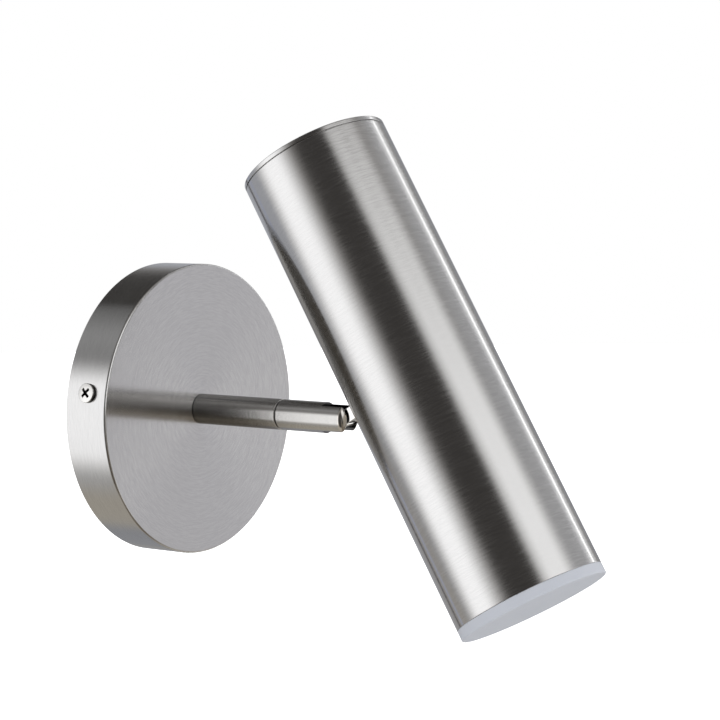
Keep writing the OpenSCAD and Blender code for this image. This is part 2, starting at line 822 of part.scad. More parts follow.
// Two leads from the lug's channel, through the stud and the heat sink, to the connector
module head_leads() {
    front = reach - collar_gap;
    fin_top = sink_z + sink_base_h + fin_h;
    color("firebrick") on_head() for (side = [-1, 1]) {
        x = side * 1.1 * lead_r;
        floor_z = channel_floor + lead_r + seat_gap;
        mouth = stud_end - 2 * lead_r;
        lead(concat([[x, reach - 2 * lead_r, floor_z]],
            bend([x, front + lead_stub, floor_z], [x, front - lead_r, 1.6 * lead_r],
                [x, front - collar_gap / 2, 0], 3),
            bend([x, mouth, 0], [x, mouth - lead_slack, 0], [x, mouth - lead_dip, -2.4 * lead_slack],
                4),
            bend([x, lead_hole_at - sink_hole_r, fin_top + lead_slack], [x, lead_hole_at, fin_top],
                [x, lead_hole_at, sink_z + sink_base_h + sink_hole_r], 3),
            [[x, lead_hole_at, board_z + seat_gap]]), lead_r);
    }
}

mounting_bracket();
cable_grommet();
earth_screw();
earth_washer();
earth_lead();
canopy();
canopy_screws();
nipple();
nipple_washer();
nipple_nut();
stem();
tape_pads();
led_driver();
terminal_block();
supply_leads();
driver_leads();
swivel_bolt();
spring_washer();
seam_washer();
stop_pin();
knuckle_sleeve();
pivot_screw();
pivot_washers();
sleeve_leads();
head_lug();
saddle_washer();
lug_nut();
head_tube();
top_cap();
heat_sink();
led_board();
led_emitters();
board_screws();
lead_connector();
reflector();
diffuser();
lens_seal();
head_leads();
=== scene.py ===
"""Adjustable tube wall light in brushed nickel: its looks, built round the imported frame.

The light's sizes are in millimetres, and its pieces are scaled to metres as their meshes are
made. The studio's sizes are in metres. The frame is the part's own: the wall is the plane
y = 0, the arm points to -Y, and +Z is up.
"""

import logging
import math
from dataclasses import dataclass, field, replace
from enum import Enum
from functools import cached_property

import bpy
import numpy as np
from mathutils import Matrix, Vector


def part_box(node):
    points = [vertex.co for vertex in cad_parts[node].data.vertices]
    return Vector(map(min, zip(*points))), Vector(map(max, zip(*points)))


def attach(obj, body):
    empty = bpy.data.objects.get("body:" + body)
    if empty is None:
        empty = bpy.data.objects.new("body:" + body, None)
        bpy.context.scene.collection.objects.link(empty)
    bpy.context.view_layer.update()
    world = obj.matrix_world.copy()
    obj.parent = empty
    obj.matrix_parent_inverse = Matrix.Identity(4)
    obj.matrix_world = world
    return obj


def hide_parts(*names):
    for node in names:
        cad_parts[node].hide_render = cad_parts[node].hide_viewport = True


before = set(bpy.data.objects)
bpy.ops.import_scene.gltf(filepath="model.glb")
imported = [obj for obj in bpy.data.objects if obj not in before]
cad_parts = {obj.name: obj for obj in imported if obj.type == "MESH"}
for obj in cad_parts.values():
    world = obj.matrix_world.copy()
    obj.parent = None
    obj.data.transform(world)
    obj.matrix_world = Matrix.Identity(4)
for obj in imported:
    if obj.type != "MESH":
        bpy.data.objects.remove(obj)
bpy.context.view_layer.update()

LOG = logging.getLogger("tube_wall_light")
MM = 0.001
UV_NAME = "brushing"
# Painted shade: a mesh attribute that darkens the colour in slots and recesses.
PAINTED_SHADE_NAME = "gap"
PAINTED_SHADE_SHARE = 0.08  # painted shade: what a slot or recess leaves of a colour
SHARP_ANGLE = math.radians(27)
NEAR = 0.01  # room for telling two places apart, in millimetres
TINY = 1e-6  # a shorter radius is on the axis
FINE_ROUND = 384  # faces round the large turned pieces
NOISE_LOW, NOISE_HIGH = 0.3, 0.7  # where most of a noise's values lie
CRISP_LOW, CRISP_HIGH = 0.41, 0.59  # what the brushing's lines stretch to that range
WHITE = (1, 1, 1, 1)

Colour = tuple[float, float, float]
Nodes = bpy.types.NodeTree
Node = bpy.types.Node
Socket = bpy.types.NodeSocket
Given = Socket | float | tuple[float, ...]


# Frames and grids


def turn(axis: str, degrees: float) -> np.ndarray:
    """Returns the 4x4 rotation about one axis."""
    return np.array(Matrix.Rotation(math.radians(degrees), 4, axis))


def shift(x: float = 0.0, y: float = 0.0, z: float = 0.0) -> np.ndarray:
    """Returns the 4x4 translation."""
    return np.array(Matrix.Translation((x, y, z)))


@dataclass
class Patch:
    """A closed stretch of surface: its points, its faces in arrays of equal size, and their UVs.

    Its painted shade values, one a point, are 1 where painted shade darkens a slot or recess.
    """

    points: np.ndarray
    faces: list[np.ndarray]
    uvs: list[np.ndarray]
    gap: np.ndarray | None = None

    def volume(self) -> float:
        """Works out the signed volume, as a sum of tetrahedra from the middle to each face.

        Returns:
            The volume, below zero where the faces point inwards.
        """
        p = self.points - self.points.mean(0)
        total = 0.0
        for face in self.faces:
            for j in range(1, face.shape[1] - 1):
                a, b, c = p[face[:, 0]], p[face[:, j]], p[face[:, j + 1]]
                total += np.einsum("ij,ij->", a, np.cross(b, c)) / 6
        return total

    def outward(self) -> "Patch":
        """Turns the faces outwards.

        Returns:
            This patch, or a copy with every face's corners in the opposite order.
        """
        if self.volume() >= 0:
            return self
        return replace(self, faces=[f[:, ::-1] for f in self.faces], uvs=[u[:, ::-1] for u in self.uvs])

    def placed(self, matrix: np.ndarray) -> "Patch":
        """Moves the patch into the light's frame.

        Args:
            matrix: the 4x4 frame that the patch was made in.

        Returns:
            The moved patch, with its faces outwards.
        """
        points = self.points @ matrix[:3, :3].T + matrix[:3, 3]
        return replace(self, points=points).outward()


def grid(points: np.ndarray, u: np.ndarray, v: np.ndarray, closed: bool) -> Patch:
    """Joins a grid of points with four-sided faces, and its last column with the first.

    Args:
        points: rows x cols x 3 points.
        u: rows + 1 values of U, since a closed seam has one at both of its ends.
        v: cols + 1 values of V, likewise.
        closed: whether the last row joins the first as well.

    Returns:
        The patch, open at its first and last row where these don't join.
    """
    rows, cols = points.shape[:2]
    i, j = np.indices((rows if closed else rows - 1, cols)).reshape(2, -1)
    corners = [(i, j), (i + 1, j), (i + 1, j + 1), (i, j + 1)]
    faces = np.stack([a % rows * cols + b % cols for a, b in corners], 1)
    uvs = np.stack([np.stack([u[a], v[b]], 1) for a, b in corners], 1)
    return Patch(points.reshape(-1, 3), [faces], [uvs])


def bar(sections: np.ndarray, depth: np.ndarray, v: np.ndarray) -> Patch:
    """Joins cross-sections into a bar with a flat face at each end.

    Args:
        sections: rows x cols x 3 points, one cross-section a row.
        depth: how far along the bar each cross-section is, in millimetres.
        v: cols + 1 values of V, in metres round the bar.

    Returns:
        The bar.
    """
    rows, cols = sections.shape[:2]
    patch = grid(sections, np.append(depth, depth[-1]) * MM, v, False)
    first = np.arange(cols)[None, ::-1]
    last = (rows - 1) * cols + np.arange(cols)[None]
    flat = np.zeros((1, cols, 2))
    flat[0, :, 1] = np.linspace(0, MM, cols)
    return Patch(patch.points, patch.faces + [first, last], patch.uvs + [flat, flat.copy()])


def path_length(points: np.ndarray) -> np.ndarray:
    """Returns how far along a path of points each one lies, in metres."""
    return np.concatenate([[0], np.cumsum(np.linalg.norm(np.diff(points, axis=0), axis=1))]) * MM


def rounded(corners: list[tuple[float, ...]], steps: int = 6, guard: float = 0.3) -> np.ndarray:
    """Rounds the corners of an open outline.

    A corner of radius R between two edges at an angle A is cut back by R / tan(A / 2) on each,
    and the arc between is the two radii blended by their sines. A point close beside each arc
    keeps the flats flat when they are shaded smooth.

    Args:
        corners: (radius from the axis, height) or (radius, height, corner radius).
        steps: faces along each arc.
        guard: how far that point is from its arc, in corner radii and at most in millimetres.

    Returns:
        n x 2 points.
    """
    flat = np.array([c[:2] for c in corners], float)
    out = [flat[:1]]
    for k in range(1, len(corners) - 1):
        here, bend_r = flat[k], corners[k][2] if len(corners[k]) > 2 else 0.0
        if not bend_r:
            out.append(here[None])
            continue
        back, ahead = flat[k - 1] - here, flat[k + 1] - here
        back, ahead = back / np.linalg.norm(back), ahead / np.linalg.norm(ahead)
        half = math.acos(np.clip(back @ ahead, -1, 1)) / 2
        cut = bend_r / math.tan(half)
        middle = here + (back + ahead) / np.linalg.norm(back + ahead) * bend_r / math.sin(half)
        start, stop = here + back * cut - middle, here + ahead * cut - middle
        bend = math.pi - 2 * half
        t = np.linspace(0, 1, steps + 1)[:, None]
        arc = middle + (start * np.sin((1 - t) * bend) + stop * np.sin(t * bend)) / math.sin(bend)
        beside = min(guard * bend_r, guard)
        out += [(arc[0] + back * beside)[None], arc, (arc[-1] + ahead * beside)[None]]
    out.append(flat[-1:])
    return np.concatenate(out)


def lathe(profile: np.ndarray, segments: int = 192, closed: bool = False) -> Patch:
    """Turns a profile about +Z: a point is (r cos a, r sin a, h) for each (r, h) and angle a.

    U runs along the profile and V round the axis, both in metres, so that the tangent along U
    lies across the brushing. A profile that starts or ends on the axis gets a pole there.

    Args:
        profile: n x 2 array of (radius, height).
        segments: faces round the axis.
        closed: whether the profile's end joins its start.

    Returns:
        The surface.
    """
    angle = np.arange(segments) * 2 * math.pi / segments
    start_pole, end_pole = (profile[[0, -1], 0] < TINY) & (not closed)
    body = profile[int(start_pole):len(profile) - int(end_pole)]
    rows = len(body)
    r, h = body[:, :1], body[:, 1:]
    points = np.stack([r * np.cos(angle), r * np.sin(angle), h + 0 * angle], 2)
    run = path_length(np.vstack([profile, profile[:1]]) if closed else profile)
    u = np.resize(run[int(start_pole):], rows + 1)
    v = np.linspace(0, 2 * math.pi, segments + 1) * profile[:, 0].max() * MM
    patch = grid(points, u, v, closed)
    for pole, row, end in ((start_pole, 0, 0), (end_pole, rows - 1, -1)):
        if not pole:
            continue
        tip = len(patch.points)
        patch.points = np.vstack([patch.points, [[0, 0, profile[end, 1]]]])
        j = np.arange(segments)
        fan = np.stack([row * segments + j, row * segments + (j + 1) % segments,
                        np.full(segments, tip)], 1)
        across = np.stack([v[j], v[j + 1], (v[j] + v[j + 1]) / 2], 1)
        fan_uv = np.stack(np.broadcast_arrays([u[row], u[row], run[end]], across), 2)
        if end == 0:
            fan, fan_uv = fan[:, ::-1], fan_uv[:, ::-1]
        patch.faces.append(fan)
        patch.uvs.append(fan_uv)
    return patch


def make_mesh(name: str, patches: list[Patch]) -> bpy.types.Mesh:
    """Puts patches into one mesh in metres, smooth but for edges past the sharp angle.

    Args:
        name: the mesh's name.
        patches: its surfaces.

    Returns:
        The mesh, with its UV map and its painted shade values.
    """
    mesh = bpy.data.meshes.new(name)
    points = np.vstack([p.points for p in patches]) * MM
    starts = np.cumsum([0] + [len(p.points) for p in patches[:-1]])
    faces = [f + s for p, s in zip(patches, starts) for f in p.faces]
    corners = np.concatenate([f.ravel() for f in faces])
    sizes = np.concatenate([np.full(len(f), f.shape[1]) for f in faces])
    mesh.vertices.add(len(points))
    mesh.vertices.foreach_set("co", points.astype(np.float32).ravel())
    mesh.loops.add(len(corners))
    mesh.loops.foreach_set("vertex_index", corners.astype(np.int32))
    mesh.polygons.add(len(sizes))
    mesh.polygons.foreach_set("loop_start", (np.cumsum(sizes) - sizes).astype(np.int32))
    mesh.polygons.foreach_set("use_smooth", np.ones(len(sizes), bool))
    uvs = np.concatenate([u.ravel() for p in patches for u in p.uvs])
    mesh.uv_layers.new(name=UV_NAME).data.foreach_set("uv", uvs.astype(np.float32))
    # Painted shade values, one a point, which darken slots and recesses.
    painted_shades = np.concatenate([np.zeros(len(p.points)) if p.gap is None else p.gap for p in patches])
    mesh.attributes.new(PAINTED_SHADE_NAME, "FLOAT", "POINT").data.foreach_set("value", painted_shades.astype(np.float32))
    mesh.update(calc_edges=True)
    mesh.validate()
    mesh.set_sharp_from_angle(angle=SHARP_ANGLE)
    return mesh


def in_scene(name: str, data: bpy.types.ID) -> bpy.types.Object:
    """Makes an object and links it to the scene.

    Args:
        name: its name.
        data: its mesh, light or camera.

    Returns:
        The object.
    """
    made = bpy.data.objects.new(name, data)
    bpy.context.scene.collection.objects.link(made)
    return made


# Shader trees


class Tree:
    """A short way to write a node tree, where each call adds a node and feeds its inputs."""

    def __init__(self, nodes: Nodes) -> None:
        """Keeps the tree that the nodes go into."""
        self.nodes = nodes

    def feed(self, node: Node, inputs: dict[str | int, Given]) -> None:
        """Gives a node's inputs their links and values.

        Args:
            node: the node.
            inputs: an output socket to link, or a value, for each input by name or number.
        """
        for key, value in inputs.items():
            if isinstance(value, Socket):
                self.nodes.links.new(value, node.inputs[key])
            else:
                node.inputs[key].default_value = value

    def node(self, kind: str, inputs: dict[str | int, Given] | None = None, **settings: object) -> Node:
        """Adds one node.

        Args:
            kind: the node's type name without its ShaderNode part.
            inputs: values or output sockets for its inputs, by name or number.
            settings: the node's own properties.

        Returns:
            The node.
        """
        node = self.nodes.nodes.new("ShaderNode" + kind)
        for key, value in settings.items():
            setattr(node, key, value)
        self.feed(node, inputs or {})
        return node

    def add(self, kind: str, inputs: dict[str | int, Given] | None = None, out: str | int = 0,
            **settings: object) -> Socket:
        """Returns one output of a new node, which takes the rest as node() does."""
        return self.node(kind, inputs, **settings).outputs[out]

    def math(self, operation: str, a: Given, b: Given = 0.0, c: Given = 0.0) -> Socket:
        """Returns one Math node's value."""
        return self.add("Math", {0: a, 1: b, 2: c}, operation=operation)

    def mix(self, factor: Given, a: Given, b: Given, blend: str = "MIX") -> Socket:
        """Returns one colour mix: a Mix node's inputs 6 and 7 and its output 2 are its colours."""
        return self.add("Mix", {0: factor, 6: a, 7: b}, 2, data_type="RGBA", blend_type=blend)

    def use(self, group: Nodes, inputs: dict[str | int, Given]) -> bpy.types.NodeOutputs:
        """Places a node group and returns its outputs."""
        return self.node("Group", inputs, node_tree=group).outputs

    def straight(self, rays: Node) -> Socket:
        """Returns 1 for the camera's own rays and for those that went through glass, else 0."""
        return self.math("MAXIMUM", rays.outputs["Is Camera Ray"], rays.outputs["Is Transmission Ray"])


def fresh_tree(owner: bpy.types.Material | bpy.types.World) -> Tree:
    """Empties the node tree of a material or world.

    Args:
        owner: the material or world.

    Returns:
        Its tree.
    """
    owner.use_nodes = True
    owner.node_tree.nodes.clear()
    return Tree(owner.node_tree)


class SharedGroups:
    """The effects that more than one material uses, each built the first time it is asked for."""

    @staticmethod
    def start(name: str, inputs: dict[str, float | tuple[float, ...]],
              outputs: dict[str, str]) -> tuple[Tree, dict[str, Socket], Node]:
        """Makes an empty group.

        Args:
            name: the group's name.
            inputs: each input's default; a number is a float, three are a vector, four a colour.
            outputs: each output's socket type, without its NodeSocket part.

        Returns:
            The group's tree, the sockets that its inputs come from, and its output node.
        """
        group = bpy.data.node_groups.new(name, "ShaderNodeTree")
        kinds = {1: "NodeSocketFloat", 3: "NodeSocketVector", 4: "NodeSocketColor"}
        for key, value in inputs.items():
            kind = kinds[np.size(value)]
            group.interface.new_socket(key, in_out="INPUT", socket_type=kind).default_value = value
        for key, kind in outputs.items():
            group.interface.new_socket(key, in_out="OUTPUT", socket_type="NodeSocket" + kind)
        take = group.nodes.new("NodeGroupInput").outputs
        return Tree(group), {key: take[key] for key in inputs}, group.nodes.new("NodeGroupOutput")

    @cached_property
    def brush_lines(self) -> Nodes:
        """Makes the brushing: noise that changes fast along U and slowly over the piece.

        Returns:
            The group, which also puts out a wide drift.
        """
        tree, take, result = self.start(
            "brush_lines", {"Along": 0.0, "Point": (0.0, 0.0, 0.0), "Density": 1500.0, "Reach": 25.0},
            {"Lines": "Float", "Drift": "Float"})
        point = tree.add("VectorMath", {0: take["Point"], 3: take["Reach"]}, operation="SCALE")
        steps = tree.math("MULTIPLY", take["Along"], take["Density"])
        fine = tree.add("TexNoise", {"Vector": point, "W": steps, "Scale": 1.0, "Detail": 3.0,
                                     "Roughness": 0.6}, noise_dimensions="4D")
        crisp = tree.add("MapRange", {"Value": fine, "From Min": CRISP_LOW, "From Max": CRISP_HIGH,
                                      "To Min": NOISE_LOW, "To Max": NOISE_HIGH})
        wide = tree.add("TexNoise", {"Vector": take["Point"], "Scale": 28.0, "Detail": 2.0})
        tree.feed(result, {"Lines": crisp, "Drift": wide})
        return tree.nodes

    @cached_property
    def fine_grain(self) -> Nodes:
        """Makes a fine and a wide noise over the piece's own coordinates.

        Returns:
            The group.
        """
        tree, take, result = self.start(
            "fine_grain", {"Point": (0.0, 0.0, 0.0), "Fine Scale": 2500.0, "Wide Scale": 60.0},
            {"Fine": "Float", "Wide": "Float"})
        fine = tree.add("TexNoise", {"Vector": take["Point"], "Scale": take["Fine Scale"],
                                     "Detail": 3.0, "Roughness": 0.55})
        wide = tree.add("TexNoise", {"Vector": take["Point"], "Scale": take["Wide Scale"],
                                     "Detail": 2.0})
        tree.feed(result, {"Fine": fine, "Wide": wide})
        return tree.nodes

    @cached_property
    def spread(self) -> Nodes:
        """Makes the step that carries a noise's usual values to a range.

        Returns:
            The group.
        """
        tree, take, result = self.start("spread", {"Noise": 0.5, "Low": 0.0, "High": 1.0},
                                        {"Value": "Float"})
        value = tree.add("MapRange", {"Value": take["Noise"], "From Min": NOISE_LOW,
                                      "From Max": NOISE_HIGH, "To Min": take["Low"],
                                      "To Max": take["High"]})
        tree.feed(result, {"Value": value})
        return tree.nodes

    @cached_property
    def studio_card(self) -> Nodes:
        """Makes one card of the studio, laid over what is behind it in a window of directions.

        Returns:
            The group.
        """
        tree, take, result = self.start(
            "studio_card",
            {"Azimuth": 0.0, "Elevation": 0.0, "Behind": (0.0, 0.0, 0.0, 1.0),
             "Card": (1.0, 1.0, 1.0, 1.0), "Centre": 0.0, "Half Width": 10.0, "Side Blur": 2.0,
             "Low": -90.0, "High": 90.0, "Edge Blur": 2.0},
            {"Colour": "Color"})
        off = tree.math("SUBTRACT", take["Azimuth"], take["Centre"])
        off = tree.math("WRAP", off, 180.0, -180.0)
        inside = tree.math("SUBTRACT", take["Half Width"], tree.math("ABSOLUTE", off))
        above = tree.math("SUBTRACT", take["Elevation"], take["Low"])
        below = tree.math("SUBTRACT", take["High"], take["Elevation"])
        level = tree.math("MINIMUM", above, below)
        masks = []
        for value, blur in ((inside, take["Side Blur"]), (level, take["Edge Blur"])):
            edges = {"Value": value, "From Min": tree.math("MULTIPLY", blur, -1.0), "From Max": blur}
            masks.append(tree.add("MapRange", edges, interpolation_type="SMOOTHSTEP"))
        mask = tree.math("MULTIPLY", *masks)
        tree.feed(result, {"Colour": tree.mix(mask, take["Behind"], take["Card"])})
        return tree.nodes


GROUPS = SharedGroups()


# Finishes


@dataclass(frozen=True)
class Finish:
    """What every finish has: a name, the record's slot, a colour and a roughness."""

    name: str
    slot: str
    colour: Colour
    roughness: float

    def dress(self, tree: Tree, shader: Node) -> None:
        """Adds the finish's own nodes; each kind of finish has its own."""
        raise NotImplementedError

    def material(self) -> bpy.types.Material:
        """Makes the finish's material, the first time it is asked for.

        Returns:
            The material.
        """
        made = bpy.data.materials.get(self.name)
        if made:
            return made
        made = bpy.data.materials.new(self.name)
        tree = fresh_tree(made)
        shader = tree.node("BsdfPrincipled", {"Base Color": self.times(1), "Roughness": self.roughness})
        self.dress(tree, shader)
        tree.node("OutputMaterial", {0: shader.outputs[0]})
        return made

    def times(self, share: float) -> tuple[float, ...]:
        """Returns the colour times a share, at most 1, with its alpha."""
        return (*(min(1.0, part * share) for part in self.colour), 1)

    def tinted(self, tree: Tree, noise: Socket, amount: float) -> Socket:
        """Colours the surface, darker and lighter as a noise goes and almost black with painted shade.

        Args:
            tree: the material's tree.
            noise: the noise.
            amount: the share that the colour goes down and up by.

        Returns:
            The colour.
        """
        factor = tree.use(GROUPS.spread, {"Noise": noise})["Value"]
        # Painted shade: the colour goes almost black in slots and recesses.
        gap = tree.add("Attribute", out="Fac", attribute_name=PAINTED_SHADE_NAME)
        plain = tree.mix(factor, self.times(1 - amount), self.times(1 + amount))
        return tree.mix(gap, plain, self.times(PAINTED_SHADE_SHARE))

    def around(self, tree: Tree, noise: Socket, middle: float, swing: float) -> Socket:
        """Returns the noise carried to the values round a middle one, a share to each side."""
        ends = {"Noise": noise, "Low": middle * (1 - swing), "High": middle * (1 + swing)}
        return tree.use(GROUPS.spread, ends)["Value"]

    def bumped(self, tree: Tree, height: Socket, depth: float, strength: float) -> Socket:
        """Returns the normal of a height whose full swing is a depth in millimetres."""
        return tree.add("Bump", {"Height": height, "Distance": depth * MM, "Strength": strength})


@dataclass(frozen=True)
class BrushedMetal(Finish):
    """Brushed and lacquered metal: long soft reflections across the brushing under a clear coat.

    The brushing has its density across the lines and its reach along them, in noise steps a
    metre. The streaks are the roughness's swing from line to line, the drift its swing over the
    whole piece, and the painted reflection share what other metal's reflections get of the
    colour: a painted darker reflection of this surface in other metal.
    """

    anisotropy: float = 0.8
    density: float = 3000.0
    reach: float = 180.0
    depth: float = 0.012
    bump: float = 0.5
    tint: float = 0.04
    streaks: float = 0.17
    drift: float = 0.06
    painted_reflection_share: float = 1.0
    coat: float = 1.0
    coat_roughness: float = 0.04

    def dress(self, tree: Tree, shader: Node) -> None:
        """Adds the brushing, its tangent, the lacquer and, below a full share, the painted darker
        reflection.

        Args:
            tree: the material's tree.
            shader: its shader.
        """
        along = tree.add("SeparateXYZ", {0: tree.add("UVMap", uv_map=UV_NAME)})
        brushing = tree.use(GROUPS.brush_lines, {
            "Along": along, "Point": tree.add("TexCoord", out="Object"), "Density": self.density,
            "Reach": self.reach})
        lines = brushing["Lines"]
        colour = self.tinted(tree, lines, self.tint)
        # Painted reflection: rays from other metal see this colour darkened.
        if self.painted_reflection_share < 1.0:
            glossy = tree.add("LightPath", out="Is Glossy Ray")
            painted_dark_reflection = tree.mix(1.0, colour, (self.painted_reflection_share, self.painted_reflection_share, self.painted_reflection_share, 1), "MULTIPLY")
            colour = tree.mix(glossy, colour, painted_dark_reflection)
        spread = self.around(tree, lines, self.roughness, self.streaks)
        wide = self.around(tree, brushing["Drift"], 1.0, self.drift)
        tree.feed(shader, {
            "Base Color": colour,
            "Roughness": tree.math("MULTIPLY", spread, wide),
            "Normal": self.bumped(tree, lines, self.depth, self.bump),
            "Tangent": tree.add("Tangent", direction_type="UV_MAP", uv_map=UV_NAME),
            "Metallic": 1.0,
            "Anisotropic": self.anisotropy,
            "Coat Weight": self.coat,
            "Coat Roughness": self.coat_roughness})


@dataclass(frozen=True)
class Grained(Finish):
    """A surface without a direction: fine grain in its roughness and bump, and a faint mottle.

    The fine and wide scales are in noise steps a metre, and the swing is the roughness's.
    """

    fine: float = 3000.0
    wide: float = 120.0
    mottle: float = 0.05
    depth: float = 0.002
    bump: float = 0.4
    swing: float = 0.15

    def dress(self, tree: Tree, shader: Node) -> None:
        """Adds the grain and the mottle.

        Args:
            tree: the material's tree.
            shader: its shader.
        """
        grain = tree.use(GROUPS.fine_grain, {
            "Point": tree.add("TexCoord", out="Object"), "Fine Scale": self.fine,
            "Wide Scale": self.wide})
        tree.feed(shader, {
            "Base Color": self.tinted(tree, grain["Wide"], self.mottle),
            "Roughness": self.around(tree, grain["Fine"], self.roughness, self.swing),
            "Normal": self.bumped(tree, grain["Fine"], self.depth, self.bump)})


@dataclass(frozen=True)
class PlatedMetal(Grained):
    """Plated or bare metal."""

    def dress(self, tree: Tree, shader: Node) -> None:
        """Adds the grain and makes it metal."""
        super().dress(tree, shader)
        shader.inputs["Metallic"].default_value = 1.0


@dataclass(frozen=True)
class Moulded(Grained):
    """Plastic, rubber, lacquer or foam."""

    fine: float = 2500.0
    wide: float = 80.0
    mottle: float = 0.04
    depth: float = 0.01
    bump: float = 0.6
    swing: float = 0.1
    specular: float = 0.5

    def dress(self, tree: Tree, shader: Node) -> None:
        """Adds the texture and sets how strongly the skin reflects."""
        super().dress(tree, shader)
        shader.inputs["Specular IOR Level"].default_value = self.specular


@dataclass(frozen=True)
class FrostedAcrylic(Moulded):
    """Frosted acrylic: moulded, with light spreading a little way under its skin."""

    under_skin: float = 0.35
    spread_depth: float = 1.5

    def dress(self, tree: Tree, shader: Node) -> None:
        """Adds the frosting and the spread of light inside."""
        super().dress(tree, shader)
        tree.feed(shader, {"Subsurface Weight": self.under_skin, "Subsurface Radius": (1.0, 1.0, 1.0),
                           "Subsurface Scale": self.spread_depth * MM})


class Finishes(Enum):
    """Every finish of the light, under the record's slot names."""

    BRUSHED_NICKEL = BrushedMetal("brushed nickel", "brushed_nickel", (0.765, 0.76, 0.757), 0.20)
    TURNED_NICKEL = BrushedMetal("turned nickel", "brushed_nickel", (0.80, 0.785, 0.765), 0.235,
                                 anisotropy=0.94, depth=0.02, streaks=0.05)
    # The canopy's face gets a painted darker reflection in the stem.
    SPUN_NICKEL = BrushedMetal("spun nickel", "brushed_nickel", (0.765, 0.76, 0.757), 0.20,
                               anisotropy=0.90, density=2100.0, reach=200.0, depth=0.02,
                               streaks=0.08, painted_reflection_share=0.38)
    POLISHED_NICKEL = PlatedMetal("polished nickel", "polished_nickel", (0.94, 0.93, 0.92), 0.05)
    POLISHED_DOME = PlatedMetal("polished dome", "polished_nickel", (0.90, 0.865, 0.82), 0.10)
    BRIGHT_NICKEL = PlatedMetal("bright nickel", "bright_nickel", (0.93, 0.92, 0.90), 0.28)
    ZINC_STEEL = PlatedMetal("zinc plated steel", "zinc_steel", (0.62, 0.64, 0.66), 0.32, mottle=0.10)
    BRASS = PlatedMetal("brass", "brass", (0.75, 0.58, 0.30), 0.25, mottle=0.08)
    RAW_ALUMINIUM = PlatedMetal("raw aluminium", "raw_aluminium", (0.72, 0.73, 0.74), 0.38)
    BOARD_WHITE = Moulded("white board lacquer", "board_white", (0.82, 0.82, 0.80), 0.30)
    PHOSPHOR = Moulded("phosphor", "phosphor", (0.80, 0.68, 0.24), 0.45, fine=6000.0)
    BLACK_RUBBER = Moulded("black rubber", "black_rubber", (0.03, 0.03, 0.032), 0.62)
    BLACK_NYLON = Moulded("black nylon", "black_nylon", (0.022, 0.022, 0.024), 0.40)
    WHITE_PLASTIC = Moulded("white plastic", "white_plastic", (0.78, 0.78, 0.76), 0.42)
    IVORY_NYLON = Moulded("ivory nylon", "ivory_nylon", (0.74, 0.70, 0.58), 0.40)
    FOAM_TAPE = Moulded("foam tape", "foam_tape", (0.70, 0.70, 0.68), 0.85, fine=1400.0, depth=0.08)
    FROSTED_ACRYLIC = FrostedAcrylic("frosted acrylic", "frosted_acrylic", (0.645, 0.67, 0.733), 0.42,
                                     mottle=0.012, specular=0.2)
    GREEN_PVC = Moulded("green lead", "green_pvc", (0.10, 0.38, 0.12), 0.38)
    BROWN_PVC = Moulded("brown lead", "brown_pvc", (0.20, 0.09, 0.045), 0.38)
    BLACK_PVC = Moulded("black lead", "black_pvc", (0.028, 0.028, 0.03), 0.38)


# The light's frames


@dataclass(frozen=True)
class Plan:
    """Sizes shared by the sub-assemblies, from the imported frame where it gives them.

    Starts, ends and the rest along the arm are from the wall. The reach is from the tilt pivot
    to the tube's axis.
    """

    canopy_r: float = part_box("canopy")[1].x / MM
    canopy_h: float = -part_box("canopy")[0].y / MM
    arm_r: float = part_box("stem")[1].x / MM
    stem_start: float = -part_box("stem")[1].y / MM
    stem_end: float = -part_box("stem")[0].y / MM
    sleeve_start: float = -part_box("knuckle_sleeve")[1].y / MM
    washer_r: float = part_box("seam_washer")[1].x / MM
    washer_start: float = -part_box("seam_washer")[1].y / MM
    washer_end: float = -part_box("seam_washer")[0].y / MM
    head_r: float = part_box("head_tube")[1].x / MM
    pivot_y: float = 94.4
    slot_w: float = 7.0
    reach: float = 41.4
    rest_tilt: float = 30.6
    rim_angle: float = 11.0
    rim_screw_y: float = 11.0

    def on_arm(self) -> np.ndarray:
        """Returns the arm's frame: +Z away from the wall, +Y up."""
        return turn("X", 90)

    def on_rim(self, i: int) -> np.ndarray:
        """Returns rim screw i's frame: +Z out of the canopy's rim."""
        return (turn("X", 90) @ turn("Z", 180 - self.rim_angle + 180 * i)
                @ shift(self.canopy_r, 0, self.rim_screw_y) @ turn("Y", 90))

    def on_pivot(self) -> np.ndarray:
        """Returns the tilt pivot's frame: +Z along +X."""
        return shift(0, -self.pivot_y, 0) @ turn("Y", 90)

    def on_head(self) -> np.ndarray:
        """Returns the head's frame: +Z up the tube, +Y back to the arm."""
        return shift(0, -self.pivot_y, 0) @ turn("X", -self.rest_tilt) @ shift(0, -self.reach, 0)


PLAN = Plan()


@dataclass
class SubAssembly:
    """What moves as one body: its own pieces, and the nodes that keep their solids."""

    body: str
    inner: dict[str, Finishes]

    def add(self, name: str, finish: Finishes, patches: list[Patch], node: str = "") -> None:
        """Makes a piece, dresses it and ties it to the frame.

        Args:
            name: the piece's name.
            finish: its finish.
            patches: its surfaces, in the light's frame.
            node: the CAD node that it stands for, where its own name doesn't say so.
        """
        piece = in_scene(name, make_mesh(name, patches))
        piece.data.materials.append(finish.value.material())
        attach(piece, self.body)
        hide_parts(node or name.removesuffix("_surface"))
        LOG.info("%s: %d faces on %s", name, len(piece.data.polygons), self.body)

    def dress(self) -> None:
        """Gives the nodes that keep their solids their finishes."""
        for name, finish in self.inner.items():
            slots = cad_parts[name].data.materials
            slots.clear()
            slots.append(finish.value.material())
            LOG.info("%s: dressed in %s", name, finish.value.name)


class Recess(Enum):
    """The drives that a screw head may have, by the angles of their slots in degrees."""

    CROSS = (45, 135)
    BLADE = (0,)


